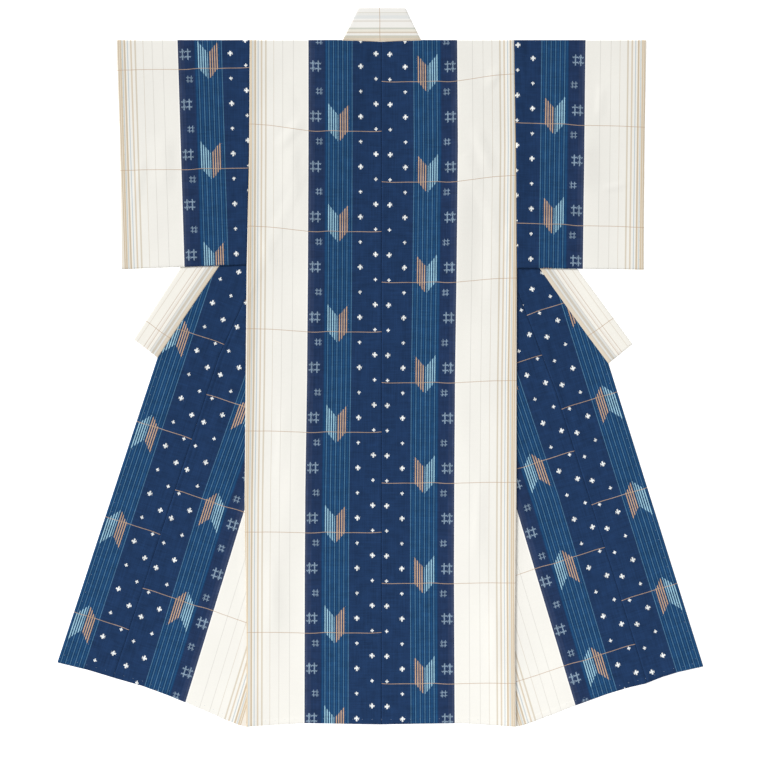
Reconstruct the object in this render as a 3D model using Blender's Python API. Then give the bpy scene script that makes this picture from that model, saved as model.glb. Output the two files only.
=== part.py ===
"""An unlined kimono, laid out on a flat surface with its back upwards and both fronts turned out to the sides.

Metres, +Z up, +Y towards the collar. The origin is on the surface, under the middle of the garment.
Every piece is cut flat, as its maker cuts it, scored where it bends, folded, and given the cloth's thickness.
The body lengths run in one piece from the back hem over the shoulder to the front hem. Each front is turned
out along a straight fold that rises from the hem at the side seam to the neck, which leaves a long hidden pleat.
"""

import math
from collections import namedtuple

import bmesh
import bpy
from mathutils import Matrix, Vector

# The cloth
CLOTH = 0.0012
LAYER_GAP = 0.0004
SEAM_GAP = 0.0003
BAND = 0.0020
LAYER_LIFT = CLOTH + LAYER_GAP
BAND_LIFT = BAND + LAYER_GAP
BEND = LAYER_LIFT / 2
HALF_TURN = math.pi * BEND
BESIDE_SEAM = Vector((1.3 * SEAM_GAP, 0.0))

# Driving sizes, all measured on the garment as it lies
BODY_LENGTH = 1.6115
NECK_HALF = 0.0927
NECK_DIP = 0.003
COLLAR_RISE = 0.0775
COLLAR_TOP_HALF = 0.055
PLEAT_START = 0.0015
WEB = 0.027
SHORT_OF_PLEAT = 0.03

# How far from a lower layer's edge the layer above stays lifted, and where it is down on the surface again
SHOULDER_OF_RAMP = 0.002
FOOT_OF_RAMP = 0.026
RAMP_SCORES = (0.0022, 0.010, 0.018, 0.0262)

# What differs between the two sides. turn is the pleat's angle in degrees, and sag how far the collar seam bows in.
# Above bend, the seam between the front and the overlap panel draws in towards the side at this slope.
# tip is the height above the hem of the collar seam's lower end, and the last two are the corners of the
# collar's free edge: distance out and distance down from the shoulder
Side = namedtuple("Side", "name sign turn front okumi bend slope tip sag end curve")
SIDES = (
    Side("left", -1, 9.1, 0.3380, 0.1364, 0.81, 0.115, 0.7571, -0.0030, (0.583, 0.702), (0.4707, 0.5295)),
    Side("right", 1, 8.7, 0.3305, 0.1370, 0.72, 0.060, 0.7482, 0.0148, (0.589, 0.713), (0.4576, 0.5340)),
)

# The side seam, the wrist edge and the back hem: distance down from the shoulder, and distance out on each side
EdgeRow = namedtuple("EdgeRow", "down left right")
SIDE_SEAM = (
    EdgeRow(0.000, 0.3100, 0.3110),
    EdgeRow(0.270, 0.3115, 0.3155),
    EdgeRow(0.540, 0.3172, 0.3172),
    EdgeRow(1.080, 0.3220, 0.3165),
    EdgeRow(1.400, 0.3170, 0.3130),
    EdgeRow(BODY_LENGTH, 0.3180, 0.3155),
)
WRIST_EDGE = (
    EdgeRow(0.000, 0.6240, 0.6218),
    EdgeRow(0.200, 0.6170, 0.6180),
    EdgeRow(0.370, 0.6130, 0.6164),
    EdgeRow(0.560, 0.6115, 0.6160),
)
HemRow = namedtuple("HemRow", "out down")
BACK_HEM = (HemRow(0.0003, 1.6065), HemRow(0.180, 1.6035))
FrontHem = namedtuple("FrontHem", "out rise")
FRONT_HEM = {
    "left": (
        FrontHem(-0.1564, 0.0034),
        FrontHem(-0.086, 0.0090),
        FrontHem(-0.007, 0.0110),
        FrontHem(0.050, 0.0135),
        FrontHem(0.111, 0.0115),
        FrontHem(0.171, 0.0070),
        FrontHem(0.212, 0.0035),
        FrontHem(0.253, -0.0010),
        FrontHem(0.295, -0.0030),
    ),
    "right": (
        FrontHem(-0.1520, 0.0022),
        FrontHem(-0.092, 0.0072),
        FrontHem(-0.052, 0.0074),
        FrontHem(-0.011, 0.0044),
        FrontHem(0.026, 0.0072),
        FrontHem(0.084, 0.0080),
        FrontHem(0.164, 0.0045),
        FrontHem(0.225, 0.0000),
        FrontHem(0.290, -0.0030),
    ),
}
SleeveDrop = namedtuple("SleeveDrop", "inner outer")
SLEEVE_DROP = {"left": SleeveDrop(0.5250, 0.5360), "right": SleeveDrop(0.5330, 0.5370)}

# Broad swells of the upper layers: piece, side, distance out and down, half sizes along each, and height
Swell = namedtuple("Swell", "piece side out down half_out half_down height")
SWELLS = (
    Swell("body", "left", 0.180, 0.330, 0.105, 0.240, 0.0022),
    Swell("body", "right", 0.200, 0.300, 0.100, 0.260, 0.0030),
    Swell("body", "left", 0.150, 1.080, 0.110, 0.330, 0.0016),
    Swell("body", "right", 0.170, 1.160, 0.110, 0.300, 0.0018),
    Swell("sleeve", "left", 0.470, 0.300, 0.120, 0.200, 0.0026),
    Swell("sleeve", "right", 0.460, 0.240, 0.120, 0.190, 0.0028),
    Swell("flap", "left", -0.080, 1.330, 0.085, 0.180, 0.0016),
    Swell("flap", "right", -0.070, 1.300, 0.085, 0.200, 0.0018),
)

# How finely the cloth is scored, and how far below the shoulder the neck and the collar's ends need their scores
GRID_OUT = 0.055
GRID_DOWN = 0.105
BEND_STEPS = 3
NECK_REACH = 0.15
BAND_REACH = 0.60
SAME_POINT = 1e-5
CLOSE = 0.004

Finish = namedtuple("Finish", "name colour roughness")
CLOTH_FINISH = Finish("indigo_cloth", (0.018, 0.042, 0.116), 0.85)
BAND_FINISH = Finish("cream_cloth", (0.86, 0.83, 0.76), 0.85)


def clear_scene():
    for item in list(bpy.data.objects):
        bpy.data.objects.remove(item)


def smooth(share):
    share = min(1.0, max(0.0, share))
    return share * share * (3 - 2 * share)


def edge_at(rows, side, down):
    """Distance out of an edge at this distance down from the shoulder."""
    outs = [getattr(row, side.name) for row in rows]
    for above, below, out_above, out_below in zip(rows, rows[1:], outs, outs[1:]):
        if down <= below.down:
            share = (down - above.down) / (below.down - above.down)
            return out_above + share * (out_below - out_above)
    return outs[-1]


# The pleat: a straight line in the plane of the closed front, from the hem at the side seam up to the neck.
# Points are pairs (out, up), with out measured from the centre back and up from the shoulder.


def pleat_start(side):
    return Vector((edge_at(SIDE_SEAM, side, BODY_LENGTH) - PLEAT_START, -BODY_LENGTH))


def pleat_directions(side):
    """Along the pleat upwards, and square to it towards the part that is turned out."""
    turn = math.radians(side.turn)
    return Vector((-math.sin(turn), math.cos(turn))), Vector((-math.cos(turn), -math.sin(turn)))


def past_pleat(side, point):
    return (Vector(point) - pleat_start(side)).dot(pleat_directions(side)[1])


def turned_out(side, point):
    """Where a point of the closed front lies once the front is turned out."""
    square = pleat_directions(side)[1]
    past = past_pleat(side, point)
    return Vector(point) - square * (2 * past - HALF_TURN)


def front_edge(side, up):
    """The seam between the front and the overlap panel, at a height measured from the shoulder."""
    above_bend = max(0.0, up + BODY_LENGTH - side.bend)
    return edge_at(SIDE_SEAM, side, BODY_LENGTH) - side.front + above_bend * side.slope


def okumi_tip(side):
    """The end of the collar seam, on the overlap panel's free edge."""
    return Vector((front_edge(side, -BODY_LENGTH) - side.okumi, side.tip - BODY_LENGTH))


def collar_seam(side, share):
    """A point of the closed collar seam, from the overlap panel's edge (0) to the neck (1)."""
    tip = okumi_tip(side)
    run = Vector((NECK_HALF, 0.0)) - tip
    sag = Vector((run.y, -run.x)).normalized() * side.sag * 4 * share * (1 - share)
    return tip + run * share + sag


def seam_share_where(side, reached):
    """The share of the collar seam at which reached(point) first turns true, by halving."""
    low, high = 0.0, 1.0
    for _ in range(40):
        middle = (low + high) / 2
        if reached(collar_seam(side, middle)):
            high = middle
        else:
            low = middle
    return (low + high) / 2


def okumi_top_share(side, gap=0.0):
    return seam_share_where(side, lambda point: point.x >= front_edge(side, point.y) - gap)


def pleat_top_share(side):
    return seam_share_where(side, lambda point: past_pleat(side, point) <= 0)


def seam_stops(side, low, high):
    """Where the collar seam is drawn between two shares of it: the same on every piece that meets it."""
    stops = {index / 8 for index in range(9)} | {okumi_top_share(side), pleat_top_share(side)}
    return [low] + [stop for stop in sorted(stops) if low + CLOSE < stop < high - CLOSE] + [high]


def front_hem(side, out):
    """Height of the closed front's hem at this distance out."""
    rows = FRONT_HEM[side.name] + (FrontHem(edge_at(SIDE_SEAM, side, BODY_LENGTH), 0.0),)
    for inner, outer in zip(rows, rows[1:]):
        if out <= outer.out:
            share = (out - inner.out) / (outer.out - inner.out)
            return inner.rise + share * (outer.rise - inner.rise) - BODY_LENGTH
    return -BODY_LENGTH


def hem_outs(side, low, high):
    """Where the front hem is drawn between two distances out."""
    return [low] + [row.out for row in FRONT_HEM[side.name] if low + CLOSE < row.out < high - CLOSE]


# The outlines on the surface that decide how high each layer lies


def turned_front_outline(side):
    tip = okumi_tip(side)
    corner = (tip.x, front_hem(side, tip.x))
    return [
        pleat_start(side),
        turned_out(side, corner),
        turned_out(side, tip),
        turned_out(side, collar_seam(side, pleat_top_share(side))),
    ]


def back_neckline(out):
    """Height of the back's neckline, which dips a little towards the centre."""
    return -NECK_DIP * (1 - out / NECK_HALF)


def web_corner(side):
    """The collar is whole round the neck: under the back, a web joins its neck part to each long end."""
    out = NECK_HALF - WEB
    return Vector((out, back_neckline(out) + SEAM_GAP))


def band_outline(side):
    """One long end of the collar, made convex: it takes in the bow of the seam and any hollow of the free edge."""
    (end_out, end_down), (curve_out, curve_down) = side.end, side.curve
    chord = NECK_HALF + (end_out - NECK_HALF) * curve_down / end_down
    tip = turned_out(side, okumi_tip(side))
    top = turned_out(side, collar_seam(side, pleat_top_share(side)))
    run = (top - tip).normalized()
    bow = Vector((run.y, -run.x)) * -max(0.0, side.sag)
    return [
        tip + bow,
        Vector((end_out, -end_down)),
        Vector((max(curve_out, chord + 0.001), -curve_down)),
        Vector((NECK_HALF, 0.0)),
        web_corner(side),
        top + bow,
    ]


def closed_front_outline(side):
    return [
        Vector((edge_at(SIDE_SEAM, side, 0.0), 0.0)),
        Vector((NECK_HALF, 0.0)),
        collar_seam(side, pleat_top_share(side)),
        pleat_start(side),
        Vector((edge_at(SIDE_SEAM, side, BODY_LENGTH), -BODY_LENGTH)),
    ]


def cover(outline, point):
    """1 over the outline and just around it, falling to 0 at the foot of the ramp. The outline is convex."""
    middle = sum(outline, Vector((0.0, 0.0))) / len(outline)
    outside = -1.0
    for start, end in zip(outline, outline[1:] + outline[:1]):
        square = Vector((end.y - start.y, start.x - end.x)).normalized()
        away = -square if (middle - start).dot(square) > 0 else square
        outside = max(outside, (Vector(point) - start).dot(away))
    return 1 - smooth((outside - SHOULDER_OF_RAMP) / (FOOT_OF_RAMP - SHOULDER_OF_RAMP))


class Stack:
    """Heights of the middle of each layer over the surface, for one side of the garment."""

    def __init__(self, side):
        self.side = side
        self.turned_front = turned_front_outline(side)
        self.band = band_outline(side)
        self.closed_front = closed_front_outline(side)

    def lowest_lift(self, point):
        over_front = cover(self.turned_front, point) * LAYER_LIFT
        over_band = cover(self.band, point) * BAND_LIFT
        return max(over_front, over_band)

    def swell(self, piece, out, down):
        total = 0.0
        for row in SWELLS:
            if row.piece == piece and row.side == self.side.name:
                across = smooth(1 - abs(out - row.out) / row.half_out)
                along = smooth(1 - abs(down - row.down) / row.half_down)
                total += row.height * across * along
        return total

    def under_layer(self, point):
        return CLOTH / 2 + self.lowest_lift(point)

    def sleeve_top(self, point):
        return self.under_layer(point) + LAYER_LIFT + self.swell("sleeve", point[0], -point[1])

    def back(self, point):
        lift = self.lowest_lift(point)
        stacked = cover(self.closed_front, point) * (lift + LAYER_LIFT)
        return CLOTH / 2 + max(lift, stacked) + self.swell("body", point[0], -point[1])


# Folding: each function takes a point of the flat cut piece to its place in the laid out garment


def bent(distance):
    """How far a cloth goes past a fold line, and its share of the way from the first layer to the second."""
    if distance <= 0:
        return distance, 0.0
    if distance >= HALF_TURN:
        return HALF_TURN - distance, 1.0
    angle = distance / BEND
    return BEND * math.sin(angle), (1 - math.cos(angle)) / 2


def body_place(stack):
    """The body length: the back lies at negative along, and the front at positive along."""
    side = stack.side
    square = pleat_directions(side)[1]

    def place(out, along):
        up, over_shoulder = bent(along)
        if over_shoulder < 1:
            top = stack.back((out, min(up, 0.0)))
            under = stack.under_layer((out, min(up, 0.0)))
            return Vector((out, up, top + over_shoulder * (under - top)))
        past = past_pleat(side, (out, up))
        beyond, over_pleat = bent(past)
        flat = Vector((out, up)) + square * (beyond - past)
        on_line = Vector((out, up)) - square * max(past, 0.0)
        under = stack.under_layer(on_line if past > 0 else flat)
        swell = stack.swell("flap", out, -up) if over_pleat == 1 else 0.0
        low = CLOTH / 2 + swell
        return Vector((flat.x, flat.y, under + over_pleat * (low - under)))

    return place


def okumi_place(stack):
    def place(out, up):
        flat = turned_out(stack.side, (out, up))
        return Vector((flat.x, flat.y, CLOTH / 2 + stack.swell("flap", out, -up)))

    return place


def sleeve_drop_at(side, out):
    drop = SLEEVE_DROP[side.name]
    inner = edge_at(SIDE_SEAM, side, drop.inner)
    share = (out - inner) / (edge_at(WRIST_EDGE, side, drop.outer) - inner)
    return drop.inner + share * (drop.outer - drop.inner)


def sleeve_place(stack):
    """The sleeve: folded at the shoulder, and again at its bottom edge, where it closes against its own start."""

    def place(out, along):
        up, over_shoulder = bent(along)
        top = stack.sleeve_top((out, min(up, 0.0)))
        under = stack.under_layer((out, min(up, 0.0)))
        if over_shoulder < 1:
            return Vector((out, up, top + over_shoulder * (under - top)))
        drop = sleeve_drop_at(stack.side, out)
        below, over_bottom = bent(-up - drop)
        top = stack.sleeve_top((out, -drop))
        return Vector((out, -drop - below, under + over_bottom * (top - under)))

    return place


def flat_place(out, up):
    return Vector((out, up, BAND / 2))


# Cutting: an outline becomes a flat face, which is scored by straight lines and then folded and thickened


def cut(outline):
    sheet = bmesh.new()
    sheet.faces.new([sheet.verts.new((point[0], point[1], 0.0)) for point in outline])
    return sheet


def score(sheet, point, square, wanted=lambda middle: True):
    """Splits the wanted faces along the line through point that is square to the given direction."""
    faces = [face for face in sheet.faces if wanted(face.calc_center_bounds())]
    parts = set(faces)
    for face in faces:
        parts.update(face.edges)
        parts.update(face.verts)
    bmesh.ops.bisect_plane(
        sheet,
        geom=list(parts),
        dist=SAME_POINT,
        plane_co=(point[0], point[1], 0.0),
        plane_no=(square[0], square[1], 0.0),
    )


def score_grid(sheet, outs, ups):
    for out in outs:
        score(sheet, (out, 0.0), (1.0, 0.0))
    for up in ups:
        score(sheet, (0.0, up), (0.0, 1.0))


def steps(first, last, pitch):
    """Evenly spaced values strictly between two limits, at about this pitch."""
    count = max(1, round(abs(last - first) / pitch))
    return [first + (last - first) * index / count for index in range(1, count)]


def bend_scores(first):
    """The lines that a half turn of cloth needs, from its first line."""
    return [first + HALF_TURN * index / BEND_STEPS for index in range(BEND_STEPS + 1)]


def outward(outline, index):
    """The direction square to an outline's side, away from its middle."""
    start, end = outline[index], outline[(index + 1) % len(outline)]
    middle = sum(outline, Vector((0.0, 0.0))) / len(outline)
    square = Vector((end.y - start.y, start.x - end.x)).normalized()
    return start, -square if (middle - start).dot(square) > 0 else square


def score_ramp(sheet, outline, index, wanted, flip=None):
    """Scores where a layer comes down beside one side of a lower outline. flip maps an upper point to the sheet."""
    start, square = outward(outline, index)
    for distance in RAMP_SCORES:
        point = start + square * distance
        if flip is None:
            score(sheet, point, square, wanted)
        else:
            score(sheet, (point.x, flip - point.y), (square.x, -square.y), wanted)


def thick_piece(name, sheet, place, sign, thickness, finish):
    """Folds a scored sheet, gives it its thickness, and makes it an object with its own material."""
    bmesh.ops.triangulate(sheet, faces=sheet.faces[:], quad_method="BEAUTY", ngon_method="BEAUTY")
    probe = SAME_POINT
    outer, inner = {}, {}
    solid = bmesh.new()
    for vert in sheet.verts:
        out, along = vert.co.x, vert.co.y
        middle = place(out, along)
        across = place(out + probe, along) - place(out - probe, along)
        lengthwise = place(out, along + probe) - place(out, along - probe)
        half = across.cross(lengthwise).normalized() * thickness / 2
        for corners, point in ((outer, middle + half), (inner, middle - half)):
            corners[vert.index] = solid.verts.new((point.x * sign, point.y, point.z))
    for face in sheet.faces:
        around = [vert.index for vert in face.verts]
        solid.faces.new([outer[index] for index in around])
        solid.faces.new([inner[index] for index in reversed(around)])
    for edge in sheet.edges:
        if edge.is_boundary:
            first, second = (vert.index for vert in edge.verts)
            solid.faces.new([outer[first], outer[second], inner[second], inner[first]])
    bmesh.ops.recalc_face_normals(solid, faces=solid.faces[:])
    bmesh.ops.triangulate(solid, faces=solid.faces[:])
    mesh = bpy.data.meshes.new(name)
    solid.to_mesh(mesh)
    solid.free()
    sheet.free()
    mesh.materials.append(cloth_material(finish))
    item = bpy.data.objects.new(name, mesh)
    bpy.context.scene.collection.objects.link(item)
    return item


def cloth_material(finish):
    found = bpy.data.materials.get(finish.name)
    if found:
        return found
    material = bpy.data.materials.new(finish.name)
    material.use_nodes = True
    shader = material.node_tree.nodes["Principled BSDF"]
    shader.inputs["Base Color"].default_value = (*finish.colour, 1.0)
    shader.inputs["Roughness"].default_value = finish.roughness
    shader.inputs["Metallic"].default_value = 0.0
    material.diffuse_color = (*finish.colour, 1.0)
    return material


# The pieces


def make_body(side, stack):
    """One body length: the back, the shoulder fold, and the front with its pleat."""
    seam = [(edge_at(SIDE_SEAM, side, row.down), row.down) for row in SIDE_SEAM]
    inner = front_edge(side, -BODY_LENGTH)
    neck_shares = seam_stops(side, okumi_top_share(side), 1.0)[:-1]
    outline = [(row.out, -row.down) for row in BACK_HEM]
    outline += [(out, -down) for out, down in reversed(seam)]
    outline += [(out, HALF_TURN + down) for out, down in seam]
    outs = hem_outs(side, inner, seam[-1][0])
    outline += [(out, HALF_TURN - front_hem(side, out)) for out in reversed(outs)]
    outline.append((inner, HALF_TURN + BODY_LENGTH - side.bend))
    for share in neck_shares:
        point = collar_seam(side, share)
        outline.append((point.x, HALF_TURN - point.y))
    outline += [(NECK_HALF, HALF_TURN), (NECK_HALF, 0.0), (BACK_HEM[0].out, back_neckline(0.0))]
    sheet = cut(outline)

    def on_back(middle):
        return middle.y < 0

    def on_front(middle):
        return middle.y > HALF_TURN

    ups = steps(-BODY_LENGTH, 0.0, GRID_DOWN) + steps(HALF_TURN, BODY_LENGTH, GRID_DOWN)
    score_grid(sheet, [], bend_scores(0.0) + ups)
    for out in steps(inner, seam[-1][0], GRID_OUT):
        score(sheet, (out, 0.0), (1.0, 0.0))
    start, (_, square) = pleat_start(side), pleat_directions(side)
    for distance in bend_scores(0.0):
        point = start + square * distance
        score(sheet, (point.x, HALF_TURN - point.y), (square.x, -square.y), on_front)
    score_ramp(sheet, stack.closed_front, 2, on_back)
    for outline, index in ((stack.closed_front, 1), (stack.band, 4)):
        score_ramp(sheet, outline, index, lambda middle: -NECK_REACH < middle.y < 0)

    def over_band(middle):
        return -BAND_REACH < middle.y < 0

    def under_back(middle):
        closed = past_pleat(side, (middle.x, HALF_TURN - middle.y)) < 0
        return closed and HALF_TURN < middle.y < BAND_REACH

    for index in (2, 5):
        score_ramp(sheet, stack.band, index, over_band)
        score_ramp(sheet, stack.band, index, under_back, HALF_TURN)
    return thick_piece(f"body_{side.name}", sheet, body_place(stack), side.sign, CLOTH, CLOTH_FINISH)


def make_okumi(side, stack):
    """The overlap panel, sewn to the front's edge and cut off slantwise where the collar is sewn on."""
    tip = okumi_tip(side)
    inner = front_edge(side, -BODY_LENGTH) - SEAM_GAP
    outs = hem_outs(side, tip.x, inner) + [inner]
    outline = [(out, front_hem(side, out)) for out in reversed(outs)]
    shares = seam_stops(side, 0.0, okumi_top_share(side, SEAM_GAP))
    outline += [tuple(collar_seam(side, share)) for share in shares]
    outline.append((inner, side.bend - BODY_LENGTH))
    sheet = cut(outline)
    score_grid(sheet, steps(tip.x, inner, GRID_OUT), steps(-BODY_LENGTH, -0.20, GRID_DOWN))
    return thick_piece(f"okumi_{side.name}", sheet, okumi_place(stack), side.sign, CLOTH, CLOTH_FINISH)


def make_sleeve(side, stack):
    """A sleeve: one width of cloth folded at the shoulder and closed along its bottom edge."""
    drop = SLEEVE_DROP[side.name]
    inner = [
        (edge_at(SIDE_SEAM, side, down) + SEAM_GAP, down)
        for down in [0.0] + steps(0.0, drop.inner, drop.inner / 2) + [drop.inner]
    ]
    wrist = [(getattr(row, side.name), row.down) for row in WRIST_EDGE[:-1]]
    wrist.append((edge_at(WRIST_EDGE, side, drop.outer), drop.outer))
    outline = [(out, -down) for out, down in inner[:-1]]
    outline += [(inner[-1][0], -drop.inner + SEAM_GAP), (wrist[-1][0], -drop.outer + SEAM_GAP)]
    outline += [(out, -down) for out, down in reversed(wrist[:-1])]
    outline += [(out, HALF_TURN + down) for out, down in wrist]
    outline += [(wrist[-1][0], 2 * HALF_TURN + drop.outer)]
    outline += [(inner[-1][0], 2 * HALF_TURN + drop.inner)]
    outline += [(out, HALF_TURN + down) for out, down in reversed(inner)]
    sheet = cut(outline)
    ups = steps(-drop.inner, 0.0, GRID_DOWN) + steps(HALF_TURN, drop.inner, GRID_DOWN)
    score_grid(sheet, steps(inner[0][0], wrist[0][0], GRID_OUT), bend_scores(0.0) + ups)
    bottom = Vector((wrist[-1][0] - inner[-1][0], drop.outer - drop.inner))
    square = Vector((-bottom.y, bottom.x)).normalized()
    for distance in bend_scores(0.0)[:-1]:
        score(sheet, (inner[-1][0], HALF_TURN + drop.inner + distance), square)
    for index in (1, 2, 5):
        score_ramp(sheet, stack.band, index, lambda middle: middle.y < 0)
        score_ramp(sheet, stack.band, index, lambda middle: middle.y > HALF_TURN, HALF_TURN)
    return thick_piece(f"sleeve_{side.name}", sheet, sleeve_place(stack), side.sign, CLOTH, CLOTH_FINISH)


def make_collar(stacks):
    """The collar band, sewn double: round the back of the neck and down both fronts to its square ends."""

    def half(stack):
        side = stack.side
        shares = seam_stops(side, 0.0, pleat_top_share(side) - SHORT_OF_PLEAT)
        seam = [turned_out(side, collar_seam(side, share)) + BESIDE_SEAM for share in shares]
        points = [Vector((COLLAR_TOP_HALF, COLLAR_RISE)), Vector((NECK_HALF, 0.0))]
        points += [Vector((out, -down)) for out, down in (side.curve, side.end)]
        points += seam + [web_corner(side)]
        return [Vector((point.x * side.sign, point.y)) for point in points]

    left, right = (half(stack) for stack in stacks)
    neck_middle = Vector((0.0, back_neckline(0.0) + SEAM_GAP))
    sheet = cut(left[::-1] + right + [neck_middle])
    ups = steps(-BAND_REACH, COLLAR_RISE, GRID_DOWN)
    score_grid(sheet, steps(-NECK_HALF, NECK_HALF, GRID_OUT), ups)
    return thick_piece("collar", sheet, flat_place, 1, BAND, BAND_FINISH)


def centre_on_surface(pieces):
    """Moves the garment so that the origin is under its middle, on the surface."""
    points = [vert.co for piece in pieces for vert in piece.data.vertices]
    lows, highs = ([pick(point[axis] for point in points) for axis in range(2)] for pick in (min, max))
    middle = [(low + high) / 2 for low, high in zip(lows, highs)]
    for piece in pieces:
        piece.data.transform(Matrix.Translation((-middle[0], -middle[1], 0.0)))


def main():
    clear_scene()
    stacks = [Stack(side) for side in SIDES]
    pieces = []
    for side, stack in zip(SIDES, stacks):
        pieces.append(make_body(side, stack))
        pieces.append(make_okumi(side, stack))
        pieces.append(make_sleeve(side, stack))
    pieces.append(make_collar(stacks))
    centre_on_surface(pieces)


main()
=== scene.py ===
"""The looks of a kimono that lies flat with its back upwards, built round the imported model.

Metres, in the model's own frame, +Z up and +Y towards the collar. Each piece of cloth is cut flat, laid out
with the folds of its solid, raised by the garment's relief, and given the thickness of the cloth.
"""

import math
from collections import namedtuple

import bmesh
import bpy
import numpy as np
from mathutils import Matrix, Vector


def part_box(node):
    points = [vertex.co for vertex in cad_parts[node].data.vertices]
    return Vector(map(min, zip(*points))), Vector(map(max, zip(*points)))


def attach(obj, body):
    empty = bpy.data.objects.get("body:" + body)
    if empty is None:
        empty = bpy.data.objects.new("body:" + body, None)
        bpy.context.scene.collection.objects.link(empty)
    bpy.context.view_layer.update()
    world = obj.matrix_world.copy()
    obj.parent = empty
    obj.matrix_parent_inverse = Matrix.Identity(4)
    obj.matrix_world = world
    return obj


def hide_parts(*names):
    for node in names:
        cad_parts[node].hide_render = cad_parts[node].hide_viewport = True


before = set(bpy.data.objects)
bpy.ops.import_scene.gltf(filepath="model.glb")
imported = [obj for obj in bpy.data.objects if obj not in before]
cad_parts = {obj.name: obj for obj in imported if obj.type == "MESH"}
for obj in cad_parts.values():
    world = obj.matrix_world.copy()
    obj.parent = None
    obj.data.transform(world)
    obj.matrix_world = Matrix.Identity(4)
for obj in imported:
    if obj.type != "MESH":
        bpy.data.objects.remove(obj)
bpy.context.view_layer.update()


# The two body lengths
# Each is one length of narrow hand-woven cloth, the width of the loom, that runs from the back hem over the
# shoulder to the front hem. They are sewn together down the centre back, and each front is turned out to
# its side along a long slanting pleat that stays hidden under the back.

# The wall of one layer and of the double collar, the gaps between layers and at seams, and how a fold bends
CLOTH = 0.0012
LAYER_GAP = 0.0004
SEAM_GAP = 0.00005
BAND = 0.0020
LAYER_LIFT = CLOTH + LAYER_GAP
BAND_LIFT = BAND + LAYER_GAP
BEND = LAYER_LIFT / 2
HALF_TURN = math.pi * BEND

# The length from the shoulder, the neck opening, the collar's rise behind it and the web below it, where the
# pleat starts, and how the cloth ramps down from what it lies on
BODY_LENGTH = 1.6115
NECK_HALF = 0.0927
NECK_DIP = 0.003
COLLAR_RISE = 0.0775
WEB = 0.027
PLEAT_START = 0.0015
SHOULDER_OF_RAMP = 0.002
FOOT_OF_RAMP = 0.085

# Points drawn along the bowed collar seam, points tried to find where it crosses a line, and the least by
# which the corner of the collar's free edge stands out
COLLAR_SEAM_POINTS = 13
SEAM_SAMPLES = 401
BULGE = 0.001

# The centre back and the shoulder line, from which the garment is measured
CENTRE_X = (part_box("body_left")[1].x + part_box("body_right")[0].x) / 2
SHOULDER_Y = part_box("collar")[1].y - COLLAR_RISE

# What differs between the sides: the pleat's angle in degrees, the front's and the overlap panel's widths,
# where their seam starts to draw in and how fast, how high the collar seam ends, how far it bows, and the
# outer corners of the collar's free edge, as distances out and down
Side = namedtuple("Side", "name sign turn front okumi bend slope tip sag end curve")
SIDES = (
    Side("left", -1, 9.1, 0.3380, 0.1364, 0.81, 0.115, 0.7571, -0.0030, (0.583, 0.702), (0.4707, 0.5295)),
    Side("right", 1, 8.7, 0.3305, 0.1370, 0.72, 0.060, 0.7482, 0.0148, (0.589, 0.713), (0.4576, 0.5340)),
)

EdgeRow = namedtuple("EdgeRow", "down left right")
SIDE_SEAM = (
    EdgeRow(0.000, 0.3100, 0.3110),
    EdgeRow(0.270, 0.3115, 0.3155),
    EdgeRow(0.540, 0.3172, 0.3172),
    EdgeRow(1.080, 0.3220, 0.3165),
    EdgeRow(1.400, 0.3170, 0.3130),
    EdgeRow(BODY_LENGTH, 0.3180, 0.3155),
)
HemRow = namedtuple("HemRow", "out down")
BACK_HEM = (HemRow(SEAM_GAP, 1.6065), HemRow(0.180, 1.6035))
FrontHem = namedtuple("FrontHem", "out rise")
FRONT_HEM = {
    "left": (
        FrontHem(-0.1564, 0.0034),
        FrontHem(-0.086, 0.0090),
        FrontHem(-0.007, 0.0110),
        FrontHem(0.050, 0.0135),
        FrontHem(0.111, 0.0115),
        FrontHem(0.171, 0.0070),
        FrontHem(0.212, 0.0035),
        FrontHem(0.253, -0.0010),
        FrontHem(0.295, -0.0030),
    ),
    "right": (
        FrontHem(-0.1520, 0.0022),
        FrontHem(-0.092, 0.0072),
        FrontHem(-0.052, 0.0074),
        FrontHem(-0.011, 0.0044),
        FrontHem(0.026, 0.0072),
        FrontHem(0.084, 0.0080),
        FrontHem(0.164, 0.0045),
        FrontHem(0.225, 0.0000),
        FrontHem(0.290, -0.0030),
    ),
}

# Broad swells of the upper layers: piece, side, distance out and down, half sizes along each, and height
Swell = namedtuple("Swell", "piece side out down half_out half_down height")
SWELLS = (
    Swell("body", "left", 0.180, 0.330, 0.105, 0.240, 0.0022),
    Swell("body", "right", 0.200, 0.300, 0.100, 0.260, 0.0030),
    Swell("body", "left", 0.150, 1.080, 0.110, 0.330, 0.0016),
    Swell("body", "right", 0.170, 1.160, 0.110, 0.300, 0.0018),
    Swell("sleeve", "left", 0.470, 0.300, 0.120, 0.200, 0.0026),
    Swell("sleeve", "right", 0.460, 0.240, 0.120, 0.190, 0.0028),
    Swell("flap", "left", -0.080, 1.330, 0.085, 0.180, 0.0016),
    Swell("flap", "right", -0.070, 1.300, 0.085, 0.200, 0.0018),
)

# A seam allowance lies under each side of a seam, so the cloth rises beside it and drops into the stitched
# line. Four more layers of it lift the back and the sleeve along the side seam
SEAM_RIDGE = 0.0006
SEAM_PEAK = 0.0018
SEAM_FOOT = 0.018
SIDE_LIFT = 0.0010
SIDE_LIFT_LEVEL = 0.016
SIDE_LIFT_REACH = 0.028

# A small tuck beside the left overlap panel's seam, which lies as a second groove along it
TUCK_SIDE = "left"
TUCK_BESIDE = 0.0094
TUCK_HALF = 0.0026
TUCK_DEPTH = 0.0011
TUCK_TOP = 0.585
TUCK_FOOT = 1.180
TUCK_FADE = 0.15

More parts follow.
